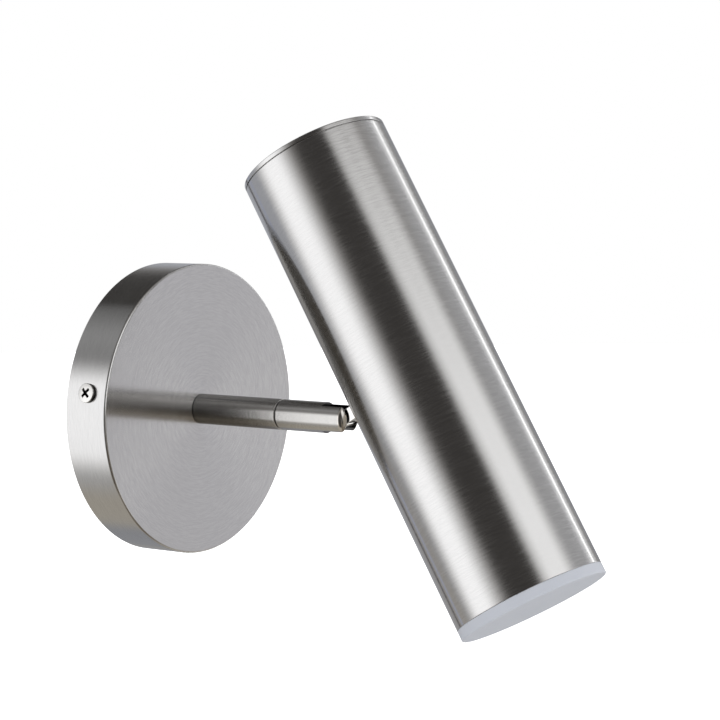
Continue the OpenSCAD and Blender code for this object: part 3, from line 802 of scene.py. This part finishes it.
@dataclass(frozen=True)
class Screw:
    """A pan-headed machine screw standing on z = 0, with its shank below.

    The crown is the radius of the head's ball in head radii, and the taper the width of the
    drive's sloping walls. Painted shade darkens the head below its lip, and in the drive it grows
    to full over the painted shade share of its depth. The drive reaches points down to the rim
    share of the soft edge below the head's side, and nowhere below the low crown.
    """

    head_r: float
    head_h: float
    shank_r: float
    shank_l: float
    recess: Recess
    recess_l: float = 4.4
    recess_w: float = 0.9
    recess_h: float = 1.5
    recess_rise: float = 0.45
    taper: float = 0.3
    pitch: float = 0.7
    thread: float = 0.18
    crown: float = 6.0
    soft: float = 0.18
    foot: float = 0.1
    lip: float = 0.15
    crown_low: float = 0.12
    rim_share: float = 1.5
    painted_shade_share: float = 0.3
    rings: int = 110
    edge_steps: int = 6
    shank_steps: int = 161
    segments: int = 160

    def depth(self, x: np.ndarray, y: np.ndarray) -> np.ndarray:
        """Works out how deep the drive goes at each point.

        In an arm of the drive the depth grows over the taper from the arm's walls, and the cross
        gets shallower towards the arms' ends: depth x (1 - rise |p| / half length).

        Args:
            x: across the head.
            y: along the head.

        Returns:
            The depth below the crown.
        """
        cross = self.recess is Recess.CROSS
        half = self.recess_l / 2 if cross else 2 * self.head_r
        deepest = np.zeros_like(x)
        for degrees in self.recess.value:
            c, s = math.cos(math.radians(degrees)), math.sin(math.radians(degrees))
            p, q = x * c + y * s, y * c - x * s
            inside = np.minimum(self.recess_w / 2 - abs(q), half - abs(p))
            slope = 1 - self.recess_rise * np.clip(abs(p) / half, 0, 1) if cross else 1.0
            deepest = np.maximum(deepest, np.clip(inside / self.taper + 0.5, 0, 1) * slope)
        return deepest * self.recess_h

    def patch(self) -> Patch:
        """Builds the screw.

        The crown is a sphere of radius B = crown x head radius: h = H - B + sqrt(B^2 - r^2), less
        the drive's depth. The shank's radius swings with the thread: r - thread |2 frac(z/p) - 1|.

        Returns:
            The screw's surface.
        """
        ball = self.crown * self.head_r
        side = self.head_h - ball + math.sqrt(ball ** 2 - self.head_r ** 2)
        q = np.linspace(0, math.pi / 2, self.edge_steps)
        edge = self.head_r - self.soft * (1 - np.cos(q))
        r = np.concatenate([edge, np.linspace(edge[-1], 0, self.rings - self.edge_steps + 2)[1:]])
        top = self.head_h - ball + np.sqrt(ball ** 2 - r ** 2)
        top[:self.edge_steps] -= self.soft * (1 - np.sin(q))
        z = np.linspace(-self.shank_l, 0, self.shank_steps)
        shank = np.stack([self.shank_r - self.thread * abs(2 * ((z / self.pitch) % 1) - 1), z], 1)
        shank[-1, 0] = self.shank_r
        skirt = np.array([[self.head_r - self.foot, 0], [self.head_r, self.foot],
                          [self.head_r, max(side - self.soft, self.lip)]])
        tip = np.array([[0, -self.shank_l]])
        patch = lathe(np.vstack([tip, shank, skirt, np.stack([r, top], 1)]), self.segments)
        crown = patch.points[:, 2] > max(side - self.rim_share * self.soft, self.crown_low)
        x, y, height = patch.points[crown].T
        sunk = np.minimum(self.depth(x, y), height - self.foot)
        patch.points[crown, 2] -= sunk
        # Painted shade: a dark ring below the head's lip and in the drive.
        patch.gap = (patch.points[:, 2] < self.lip).astype(float)
        patch.gap[crown] = np.clip(sunk / (self.painted_shade_share * self.recess_h), 0, 1)
        return patch


@dataclass
class WallBase(SubAssembly):
    """The canopy on the wall with its screws, the stem, and what the canopy hides.

    The face rings are radii that the canopy's mesh has extra points on. The foot shade is how
    dark the painted shade on the ring at the stem's foot is.
    """

    body: str = "wall_base"
    wall: float = 1.2
    edge_r: float = 0.9
    inner_r: float = 0.4
    back_r: float = 0.15
    face_rings: tuple[float, float, float] = (40, 20, 8)
    stem_soft: float = 0.25
    stem_foot: float = 0.7
    stem_end_r: float = 0.3
    foot_shade: float = 0.8
    corner_steps: int = 8
    screw: Screw = Screw(3.9, 1.7, 2.0, 9.0, Recess.CROSS)
    inner: dict[str, Finishes] = field(default_factory=lambda: {
        "mounting_bracket": Finishes.ZINC_STEEL, "cable_grommet": Finishes.BLACK_RUBBER,
        "earth_screw": Finishes.BRASS, "earth_washer": Finishes.ZINC_STEEL,
        "earth_lead": Finishes.GREEN_PVC, "nipple": Finishes.BRASS,
        "nipple_washer": Finishes.ZINC_STEEL, "nipple_nut": Finishes.BRASS,
        "tape_pads": Finishes.FOAM_TAPE, "led_driver": Finishes.WHITE_PLASTIC,
        "terminal_block": Finishes.IVORY_NYLON, "supply_leads": Finishes.BROWN_PVC,
        "driver_leads": Finishes.BLACK_PVC})

    def canopy(self) -> Patch:
        """Builds the canopy: a pressed dish whose outer and inner profiles meet at the wall.

        Returns:
            The canopy in the arm's frame.
        """
        r, h, w = PLAN.canopy_r, PLAN.canopy_h, self.wall
        far, middle, close = self.face_rings
        inside = [(0, h - w), (middle, h - w), (r - w, h - w, self.inner_r), (r - w, 0, self.back_r)]
        outside = [(r, 0, self.back_r), (r, h, self.edge_r), (far, h), (middle, h), (close, h), (0, h)]
        return lathe(rounded(inside + outside, self.corner_steps), FINE_ROUND)

    def stem(self) -> Patch:
        """Builds the stem: a bar with its foot and its end softened.

        Returns:
            The stem in the arm's frame.
        """
        r, foot, end = PLAN.arm_r, PLAN.stem_start, PLAN.stem_end
        patch = lathe(rounded([(0, foot), (r, foot, self.stem_soft), (r, foot + self.stem_foot),
                               (r, end, self.stem_end_r), (0, end)]))
        # Painted shade: a dark ring at the stem's foot.
        patch.gap = (patch.points[:, 2] < foot + self.stem_soft + NEAR) * self.foot_shade
        return patch

    def build(self) -> None:
        """Makes the wall side's pieces."""
        arm = PLAN.on_arm()
        self.add("canopy_surface", Finishes.SPUN_NICKEL, [self.canopy().placed(arm)])
        self.add("stem_surface", Finishes.TURNED_NICKEL, [self.stem().placed(arm)])
        screws = [self.screw.patch().placed(PLAN.on_rim(i)) for i in (0, 1)]
        self.add("canopy_screws_surface", Finishes.BRIGHT_NICKEL, screws)


@dataclass
class ArmEnd(SubAssembly):
    """The part that swivels: seam washer, slotted knuckle sleeve and pivot screw.

    The slot's root and the dome's ends are depths from the wall. The cheeks' points that are
    near the well's edge move to one side of it, as far off as the well's wall.
    """

    body: str = "arm_end"
    root: float = 85.5
    dome_start: float = 94.9
    dome_apex: float = 98.3
    tip_gap: float = 1e-4
    start_soft: float = 0.3
    slot_edge: float = 0.25
    edge_share: float = 0.4
    bore_r: float = 2.5
    bore_depth: float = 9.0
    bore_soft: float = 0.2
    root_step: float = 0.05
    well_r: float = 2.1
    well_floor: float = 4.5
    well_near: float = 0.13
    well_wall: float = 0.02
    washer_bore: float = 3.6
    washer_round: int = 128
    head_gap: float = 0.05
    dome_steps: int = 60
    straight_steps: int = 66
    arc_steps: int = 120
    chord_steps: int = 24
    screw: Screw = Screw(2.0, 0.9, 1.5, 7.9, Recess.BLADE, recess_w=0.8, recess_h=0.6, taper=0.08,
                         crown=2.6, rings=80)
    inner: dict[str, Finishes] = field(default_factory=lambda: {
        "swivel_bolt": Finishes.ZINC_STEEL, "spring_washer": Finishes.ZINC_STEEL,
        "stop_pin": Finishes.ZINC_STEEL, "pivot_washers": Finishes.BLACK_NYLON,
        "sleeve_leads": Finishes.BLACK_PVC})

    def barrel(self) -> Patch:
        """Builds the sleeve up to the slot's root, with the bore that the leads come out of.

        Returns:
            The barrel in the arm's frame.
        """
        r, start, root, floor = PLAN.arm_r, PLAN.sleeve_start, self.root, self.root - self.bore_depth
        patch = lathe(rounded([(0, start), (r, start, self.start_soft), (r, root),
                               (r - self.root_step, root), (self.bore_r, root, self.bore_soft),
                               (self.bore_r, floor), (0, floor)]))
        # Painted shade on the end face inside the slot and down the bore.
        inside = np.hypot(patch.points[:, 0], patch.points[:, 1]) < r - self.root_step + NEAR
        patch.gap = (inside & (patch.points[:, 2] > floor - NEAR)).astype(float)
        return patch

    def cheek(self, side: int, domed: bool) -> Patch:
        """Builds the straight part or the domed end of one cheek beside the slot.

        Across the arm the cheek is a D: the arc of radius R(d) beyond the slot's wall, and the
        chord on the wall, with a small cut at the two corners. R is the arm's radius up to the
        dome and R cos t on it, at the depth c + B sin t: an ellipse that carries on from the
        cylinder at the depth c and is B deep. On the far side the arc's points over the screw's
        well drop to its floor.

        Args:
            side: -1 for the near cheek, 1 for the far one.
            domed: whether to build the domed end.

        Returns:
            The cheek in the arm's frame.
        """
        half = PLAN.slot_w / 2
        if domed:
            bend = np.linspace(0, math.acos(half / PLAN.arm_r) - self.tip_gap, self.dome_steps)[:, None]
            depth = self.dome_start + (self.dome_apex - self.dome_start) * np.sin(bend)
            radius = PLAN.arm_r * np.cos(bend)
        else:
            depth = np.linspace(self.root, self.dome_start, self.straight_steps)[:, None]
            radius = np.full_like(depth, PLAN.arm_r)
        open_angle = np.arccos(np.clip(half / radius, 0, 1))
        cut = np.minimum(self.slot_edge / radius, open_angle * self.edge_share)
        t = np.linspace(-1, 1, self.arc_steps)[None]
        angle = t * (open_angle - cut)
        arc = np.stack([radius * np.cos(angle), radius * np.sin(angle), depth + 0 * t], 2)
        tall = radius * np.sin(open_angle)
        tall = tall - np.minimum(self.slot_edge, tall * self.edge_share)
        s = np.linspace(1, -1, self.chord_steps)[None]
        chord = np.stack([half + 0 * s + 0 * depth, s * tall, depth + 0 * s], 2)
        if side > 0 and not domed:
            self.sink_well(arc)
        section = np.concatenate([arc, chord], 1)
        section[..., 0] *= side
        patch = bar(section, depth, np.linspace(0, 2 * math.pi * PLAN.arm_r * MM, section.shape[1] + 1))
        # Painted shade on the slot's walls.
        patch.gap = np.tile(np.repeat([0.0, 1.0], [self.arc_steps, self.chord_steps]), len(depth))
        return patch

    def sink_well(self, arc: np.ndarray) -> None:
        """Drops the arc's points inside the screw's well to its floor and rounds its edge.

        Args:
            arc: rows x cols x 3 points of the cheek's outside, changed in place.
        """
        across, along = arc[..., 1], arc[..., 2] - PLAN.pivot_y
        rho = np.hypot(across, along)
        inside = rho < self.well_r
        target = np.where(inside, self.well_r - self.well_wall, self.well_r + self.well_wall)
        near = abs(rho - self.well_r) < self.well_near
        scale = np.where(near, target / np.maximum(rho, TINY), 1.0)
        arc[..., 1] = across * scale
        arc[..., 2] = along * scale + PLAN.pivot_y
        arc[..., 0] = np.where(inside, self.well_floor, arc[..., 0])

    def washer(self) -> Patch:
        """Builds the seam washer: a flat ring, a little inside the arm's surface.

        Returns:
            The washer in the arm's frame.
        """
        low, high, bore, r = PLAN.washer_start, PLAN.washer_end, self.washer_bore, PLAN.washer_r
        ring = np.array([(bore, low), (r, low), (r, high), (bore, high)])
        return lathe(ring, self.washer_round, closed=True)

    def build(self) -> None:
        """Makes the arm end's pieces."""
        arm = PLAN.on_arm()
        sleeve = [self.barrel().placed(arm)] + [self.cheek(side, False).placed(arm) for side in (-1, 1)]
        self.add("knuckle_sleeve_surface", Finishes.TURNED_NICKEL, sleeve)
        ends = [self.cheek(side, True).placed(arm) for side in (-1, 1)]
        self.add("knuckle_dome_surface", Finishes.POLISHED_DOME, ends, "knuckle_sleeve")
        self.add("seam_washer_surface", Finishes.BLACK_NYLON, [self.washer().placed(arm)])
        place = PLAN.on_pivot() @ shift(0, 0, self.well_floor + self.head_gap)
        self.add("pivot_screw_surface", Finishes.BRIGHT_NICKEL, [self.screw.patch().placed(place)])


@dataclass
class Head(SubAssembly):
    """The part that tilts: lug, tube, top cap, frosted lens and the light engine inside.

    The tube goes up and down from the pivot's level. The lug's front is its distance from the
    tube's axis, and the collar and the tongue start a little inside what they stand on.
    """

    body: str = "head"
    wall: float = 1.2
    up: float = 94.6
    down: float = 97.9
    tube_soft: float = 0.2
    tube_inside: float = 10.0
    corner_steps: int = 8
    seam: float = 0.3
    cap_rim: float = 1.7
    crown: float = 1.6
    crown_inset: float = 1.0
    crown_edge: float = 0.12
    crown_rings: int = 40
    cap_soft: float = 0.35
    under_soft: float = 0.12
    cap_fit: float = 0.05
    cap_wall: float = 1.2
    cap_plug: float = 8.3
    lens_gap: float = 0.05
    lens_h: float = 4.2
    lens_soft: float = 0.6
    lens_fit: float = 0.1
    lens_wall: float = 2.2
    lens_plug: float = 4.0
    lens_plug_soft: float = 0.2
    lens_ring: float = 15.0
    lens_steps: int = 10
    lug_front: float = 33.3
    collar_r: float = 5.0
    collar_soft: float = 0.5
    collar_in: float = 1.0
    collar_edge_in: float = 0.6
    collar_sink: float = 0.02
    collar_face: float = 0.7
    collar_rings: int = 30
    collar_round: int = 240
    tongue_t: float = 5.4
    eye_r: float = 3.1
    neck: float = 2.7
    tongue_in: float = 1.0
    tongue_soft: float = 0.3
    tongue_guard: float = 0.15
    channel_w: float = 2.4
    channel_floor: float = 2.25
    channel_back: float = 2.0
    channel_wall: float = 0.02
    arc_steps: int = 160
    line_steps: int = 24
    edge_steps: int = 7
    inner: dict[str, Finishes] = field(default_factory=lambda: {
        "saddle_washer": Finishes.ZINC_STEEL, "lug_nut": Finishes.ZINC_STEEL,
        "heat_sink": Finishes.RAW_ALUMINIUM, "led_board": Finishes.BOARD_WHITE,
        "led_emitters": Finishes.PHOSPHOR, "board_screws": Finishes.BRIGHT_NICKEL,
        "lead_connector": Finishes.IVORY_NYLON, "reflector": Finishes.WHITE_PLASTIC,
        "lens_seal": Finishes.BLACK_RUBBER, "head_leads": Finishes.BLACK_PVC})

    def tube(self) -> Patch:
        """Builds the tube: a straight wall with both of its ends softened.

        Returns:
            The tube in the head's frame.
        """
        r, bore, soft, far = PLAN.head_r, PLAN.head_r - self.wall, self.tube_soft, self.tube_inside
        loop = [(bore, -self.down + far), (bore, -self.down, soft), (r, -self.down, soft),
                (r, self.up, soft), (bore, self.up, soft), (bore, self.up - far)]
        return lathe(rounded(loop), FINE_ROUND, closed=True)

    def cap(self) -> Patch:
        """Builds the top cap.

        Above its rim the crown is a sphere through the rim's edge: its radius is
        (r^2 + rise^2) / (2 rise). Below, a collar goes into the tube.

        Returns:
            The cap in the head's frame.
        """
        r, base = PLAN.head_r, self.up + self.seam
        plug, foot, rim = r - self.wall - self.cap_fit, base - self.cap_plug, base + self.cap_rim
        bore = plug - self.cap_wall
        ball = (r ** 2 + self.crown ** 2) / (2 * self.crown)
        edge = r - self.cap_soft - self.crown_inset
        low = rounded([(0, base), (bore, base), (bore, foot), (plug, foot), (plug, base),
                       (r, base, self.under_soft), (r, rim, self.cap_soft),
                       (edge, rim + self.crown_edge)], self.corner_steps)
        x = np.linspace(edge, 0, self.crown_rings)
        top = rim + self.crown - ball + np.sqrt(ball ** 2 - x ** 2)
        return lathe(np.vstack([low[:-1], np.stack([x, top], 1)]), FINE_ROUND)

    def lens(self) -> Patch:
        """Builds the lens: a disc flush with the tube, its lower edge rounded, and a spigot.

        Returns:
            The lens in the head's frame.
        """
        r, top = PLAN.head_r, -self.down - self.lens_gap
        low, spigot, plug = top - self.lens_h, top + self.lens_plug, r - self.wall - self.lens_fit
        bore = plug - self.lens_wall
        outline = [(0, top), (bore, top), (bore, spigot), (plug, spigot, self.lens_plug_soft),
                   (plug, top), (r, top, self.under_soft), (r, low, self.lens_soft),
                   (self.lens_ring, low), (0, low)]
        return lathe(rounded(outline, self.lens_steps), FINE_ROUND)

    def collar(self) -> Patch:
        """Builds the lug's collar: a short bar whose foot follows the tube's surface.

        The foot's ring lies on the tube: distance from the axis sqrt(R^2 - x^2). The lead's notch
        takes the points within its width, above the middle, back to its floor.

        Returns:
            The collar, with +Z from the tube to the arm.
        """
        tube_r, r, front = PLAN.head_r, self.collar_r, self.lug_front
        edge = rounded([(0, tube_r - self.collar_in), (r, tube_r - self.collar_edge_in),
                        (r, front, self.collar_soft), (0, front)])
        rings = np.linspace(r - self.collar_face, 0, self.collar_rings)
        face = np.stack([rings, np.full(self.collar_rings, front)], 1)
        patch = lathe(np.vstack([edge[:-1], face]), self.collar_round)
        x, y, z = patch.points.T
        foot = (z < tube_r - self.collar_edge_in + NEAR) & (np.hypot(x, y) > NEAR)
        patch.points[foot, 2] = np.sqrt(tube_r ** 2 - x[foot] ** 2) - self.collar_sink
        notch = (abs(x) < self.channel_w / 2) & (y < 0) & (z > front - self.channel_back)
        patch.points[notch, 2] = front - self.channel_back
        return patch

    def tongue(self) -> Patch:
        """Builds the tongue: the outline of neck and eye carried across its thickness.

        The outline is two straight edges and the eye's arc. Across the thickness it is drawn in
        near both faces by a quarter circle, and the lead's channel holds its upper edge down.

        Returns:
            The tongue in the head's frame.
        """
        eye, steps = PLAN.reach, self.line_steps
        joint = math.asin(self.neck / self.eye_r)
        start = eye - self.eye_r * math.cos(joint)
        line = np.linspace(self.lug_front - self.tongue_in, start, steps, endpoint=False)
        angle = np.linspace(-(math.pi - joint), math.pi - joint, self.arc_steps)
        y = np.concatenate([line, eye + self.eye_r * np.cos(angle), line[::-1]])
        z = np.concatenate([np.full(steps, -self.neck), self.eye_r * np.sin(angle),
                            np.full(steps, self.neck)])
        ny = np.concatenate([0 * line, np.cos(angle), 0 * line])
        nz = np.concatenate([0 * line - 1, np.sin(angle), 0 * line + 1])
        half, soft = self.tongue_t / 2, self.tongue_soft
        groove, wall = self.channel_w / 2, self.channel_wall
        q = np.linspace(0, math.pi / 2, self.edge_steps)[1:]
        x = np.concatenate([[half, half], half - soft + soft * np.cos(q),
                            [groove + wall, groove - wall]])
        draw = np.concatenate([[soft + self.tongue_guard, soft], soft - soft * np.sin(q), [0, 0]])
        x = np.concatenate([x, -x[::-1]])[:, None]
        draw = np.concatenate([draw, draw[::-1]])[:, None]
        yy, zz = y - ny * draw, z - nz * draw
        zz = np.where((abs(x) < groove) & (zz > self.channel_floor), self.channel_floor, zz)
        around = path_length(np.stack([y, z], 1))
        return bar(np.stack([x + 0 * yy, yy, zz], 2), x, np.append(around, around[-1]))

    def build(self) -> None:
        """Makes the head's pieces."""
        head = PLAN.on_head()
        self.add("head_tube_surface", Finishes.BRUSHED_NICKEL, [self.tube().placed(head)])
        self.add("top_cap_surface", Finishes.BRUSHED_NICKEL, [self.cap().placed(head)])
        self.add("diffuser_surface", Finishes.FROSTED_ACRYLIC, [self.lens().placed(head)])
        lug = [self.collar().placed(head @ turn("X", -90)), self.tongue().placed(head)]
        self.add("head_lug_surface", Finishes.POLISHED_NICKEL, lug)


# The studio


@dataclass(frozen=True)
class Card:
    """A card or a lamp's panel in the studio, as a window of directions in degrees.

    Azimuth 0 is straight out from the wall and grows towards +X.
    """

    name: str
    colour: Colour
    centre: float
    half_width: float
    side_blur: float
    low: float
    high: float
    edge_blur: float


@dataclass(frozen=True)
class Lamp:
    """A round soft lamp: its direction as a card's, distance and size in metres, and watts."""

    name: str
    azimuth: float
    elevation: float
    distance: float
    size: float
    power: float

    def build(self, target: Vector) -> None:
        """Makes the lamp, which leaves the metal's reflections to the world's cards.

        Args:
            target: the point that it faces.
        """
        data = bpy.data.lights.new(self.name, "AREA")
        data.shape = "DISK"
        data.size = self.size
        data.energy = self.power
        lamp = in_scene(self.name, data)
        a, e = math.radians(self.azimuth), math.radians(self.elevation)
        away = Vector((math.sin(a) * math.cos(e), -math.cos(a) * math.cos(e), math.sin(e)))
        lamp.location = target + away * self.distance
        lamp.rotation_euler = away.to_track_quat("Z", "Y").to_euler()
        lamp.visible_glossy = False
        lamp.visible_camera = False


@dataclass
class Studio:
    """Camera, world, lamps and floor, in metres."""

    eye: Vector = field(default_factory=lambda: Vector((-0.77320, -0.66414, 0.11267)))
    heading: float = 53.980
    dip: float = 5.311
    roll: float = -0.773
    lens: float = 121.77
    film_width: float = 36.0
    sight: float = 60.0
    target: Vector = field(default_factory=lambda: Vector((0, -0.07, 0)))
    floor_z: float = -1.2
    floor_r: float = 14.0
    floor_t: float = 0.005
    floor_round: int = 96
    paper: Colour = (0.8, 0.8, 0.8)
    room: Colour = (0.26, 0.25, 0.24)
    plain_light: Colour = (0.72, 0.72, 0.72)
    cards: tuple[Card, ...] = (
        Card("floor", (0.36, 0.335, 0.29), 180, 181, 1, -95, -24, 6),
        Card("floor left", (0.40, 0.40, 0.40), -150, 14, 8, -44, -24, 6),
        Card("floor right", (0.26, 0.265, 0.28), 138, 24, 10, -95, -24, 6),
        Card("dark table", (0.15, 0.128, 0.10), 0, 42, 10, -95, -12, 8),
        Card("rear wall", (0.38, 0.39, 0.42), 160, 45, 12, -18, 20, 8),
        Card("rear wall end", (0.26, 0.265, 0.28), 106, 9, 6, -24, 24, 8),
        Card("ceiling", (0.045, 0.043, 0.041), 165, 70, 18, 27, 95, 9),
        Card("ceiling glow", (0.29, 0.29, 0.29), -159, 24, 4, 20, 49, 4),
        Card("near side", (0.505, 0.50, 0.52), 52, 30, 14, -21, 20, 10),
        Card("near side above", (0.37, 0.37, 0.375), 52, 30, 14, 18, 40, 5),
        Card("low window", (0.90, 0.88, 0.85), 24, 12, 8, -22, 10, 8),
        Card("low strip", (0.85, 0.85, 0.87), 78, 8, 6, -28, 8, 8),
        Card("window", (1.08, 1.08, 1.08), -4, 27, 17, -1, 46, 5),
        Card("dark camera side", (0.045, 0.042, 0.040), -65, 26, 8, -55, 62, 8),
        Card("key panel", (1.18, 1.18, 1.185), -127, 22, 15, -33, 23, 9),
        Card("soft strip", (0.62, 0.62, 0.63), 79, 10, 5, -40, 70, 10),
        Card("strip lamp", (2.2, 2.2, 2.2), 79, 1.8, 1.0, -60, 70, 5),
        Card("blue card", (0.34, 0.36, 0.44), 176, 3, 1, -30, 10, 4),
        Card("dark post", (0.09, 0.085, 0.09), 164, 3, 1.5, -30, 8, 4),
    )
    lamps: tuple[Lamp, ...] = (
        Lamp("soft left", -100, 30, 1.6, 1.2, 4.0), Lamp("soft right", 40, 35, 1.6, 1.2, 2.5),
        Lamp("soft top", 170, 70, 1.8, 1.4, 2.0), Lamp("soft low", 25, -42, 1.6, 1.4, 6.2))

    def camera(self) -> None:
        """Makes the camera at the photograph's place and angle."""
        data = bpy.data.cameras.new("camera")
        data.sensor_width = self.film_width
        data.lens = self.lens
        data.clip_end = self.sight
        camera = in_scene("camera", data)
        heading, dip = math.radians(self.heading), math.radians(self.dip)
        ahead = Vector((math.sin(heading) * math.cos(dip), math.cos(heading) * math.cos(dip),
                        -math.sin(dip)))
        right = ahead.cross(Vector((0, 0, 1))).normalized()
        level = Matrix((right, right.cross(ahead), -ahead)).transposed().to_4x4()
        rolled = level @ Matrix.Rotation(math.radians(self.roll), 4, "Z")
        camera.matrix_world = Matrix.Translation(self.eye) @ rolled
        bpy.context.scene.camera = camera

    def world(self) -> None:
        """Makes the world: the studio's cards by direction, and plain white behind the light."""
        world = bpy.data.worlds.new("studio")
        tree = fresh_tree(world)
        way = tree.node("SeparateXYZ", {0: tree.add("TexCoord", out="Generated")}).outputs
        azimuth = tree.math("ARCTAN2", way["X"], tree.math("MULTIPLY", way["Y"], -1.0))
        azimuth = tree.math("DEGREES", azimuth)
        elevation = tree.math("DEGREES", tree.math("ARCSINE", way["Z"]))
        colour: Given = (*self.room, 1)
        for card in self.cards:
            colour = tree.use(GROUPS.studio_card, {
                "Azimuth": azimuth, "Elevation": elevation, "Behind": colour, "Card": (*card.colour, 1),
                "Centre": card.centre, "Half Width": card.half_width, "Side Blur": card.side_blur,
                "Low": card.low, "High": card.high, "Edge Blur": card.edge_blur})["Colour"]
        rays = tree.node("LightPath")
        plain = tree.mix(rays.outputs["Is Diffuse Ray"], colour, (*self.plain_light, 1))
        shown = tree.mix(tree.straight(rays), plain, WHITE)
        tree.node("OutputWorld", {0: tree.add("Background", {"Color": shown, "Strength": 1.0})})
        bpy.context.scene.world = world

    def floor(self) -> None:
        """Makes the pale floor far below, white to the camera but for the light's soft shadow."""
        top, r = self.floor_z / MM, self.floor_r / MM
        under = top - self.floor_t / MM
        disc = lathe(np.array([[0, under], [r, under], [r, top], [0, top]]), self.floor_round)
        floor = in_scene("floor", make_mesh("floor", [disc.outward()]))
        made = bpy.data.materials.new("floor paper")
        tree = fresh_tree(made)
        paper = tree.add("BsdfDiffuse", {"Color": (*self.paper, 1)})
        seen = tree.straight(tree.node("LightPath"))
        white = tree.add("Emission", {"Color": WHITE, "Strength": seen})
        tree.node("OutputMaterial", {0: tree.add("AddShader", {0: paper, 1: white})})
        floor.data.materials.append(made)
        floor.visible_glossy = False

    def build(self) -> None:
        """Makes the whole studio."""
        self.camera()
        self.world()
        for lamp in self.lamps:
            lamp.build(self.target)
        self.floor()
        bpy.context.scene.view_settings.view_transform = "Standard"
        LOG.info("studio: %d cards, %d lamps", len(self.cards), len(self.lamps))


def main() -> None:
    """Builds the light and its studio."""
    logging.basicConfig(level=logging.INFO, format="%(message)s")
    Studio().build()
    for part in (WallBase(), ArmEnd(), Head()):
        part.build()
        part.dress()


if __name__ == "__main__":
    main()
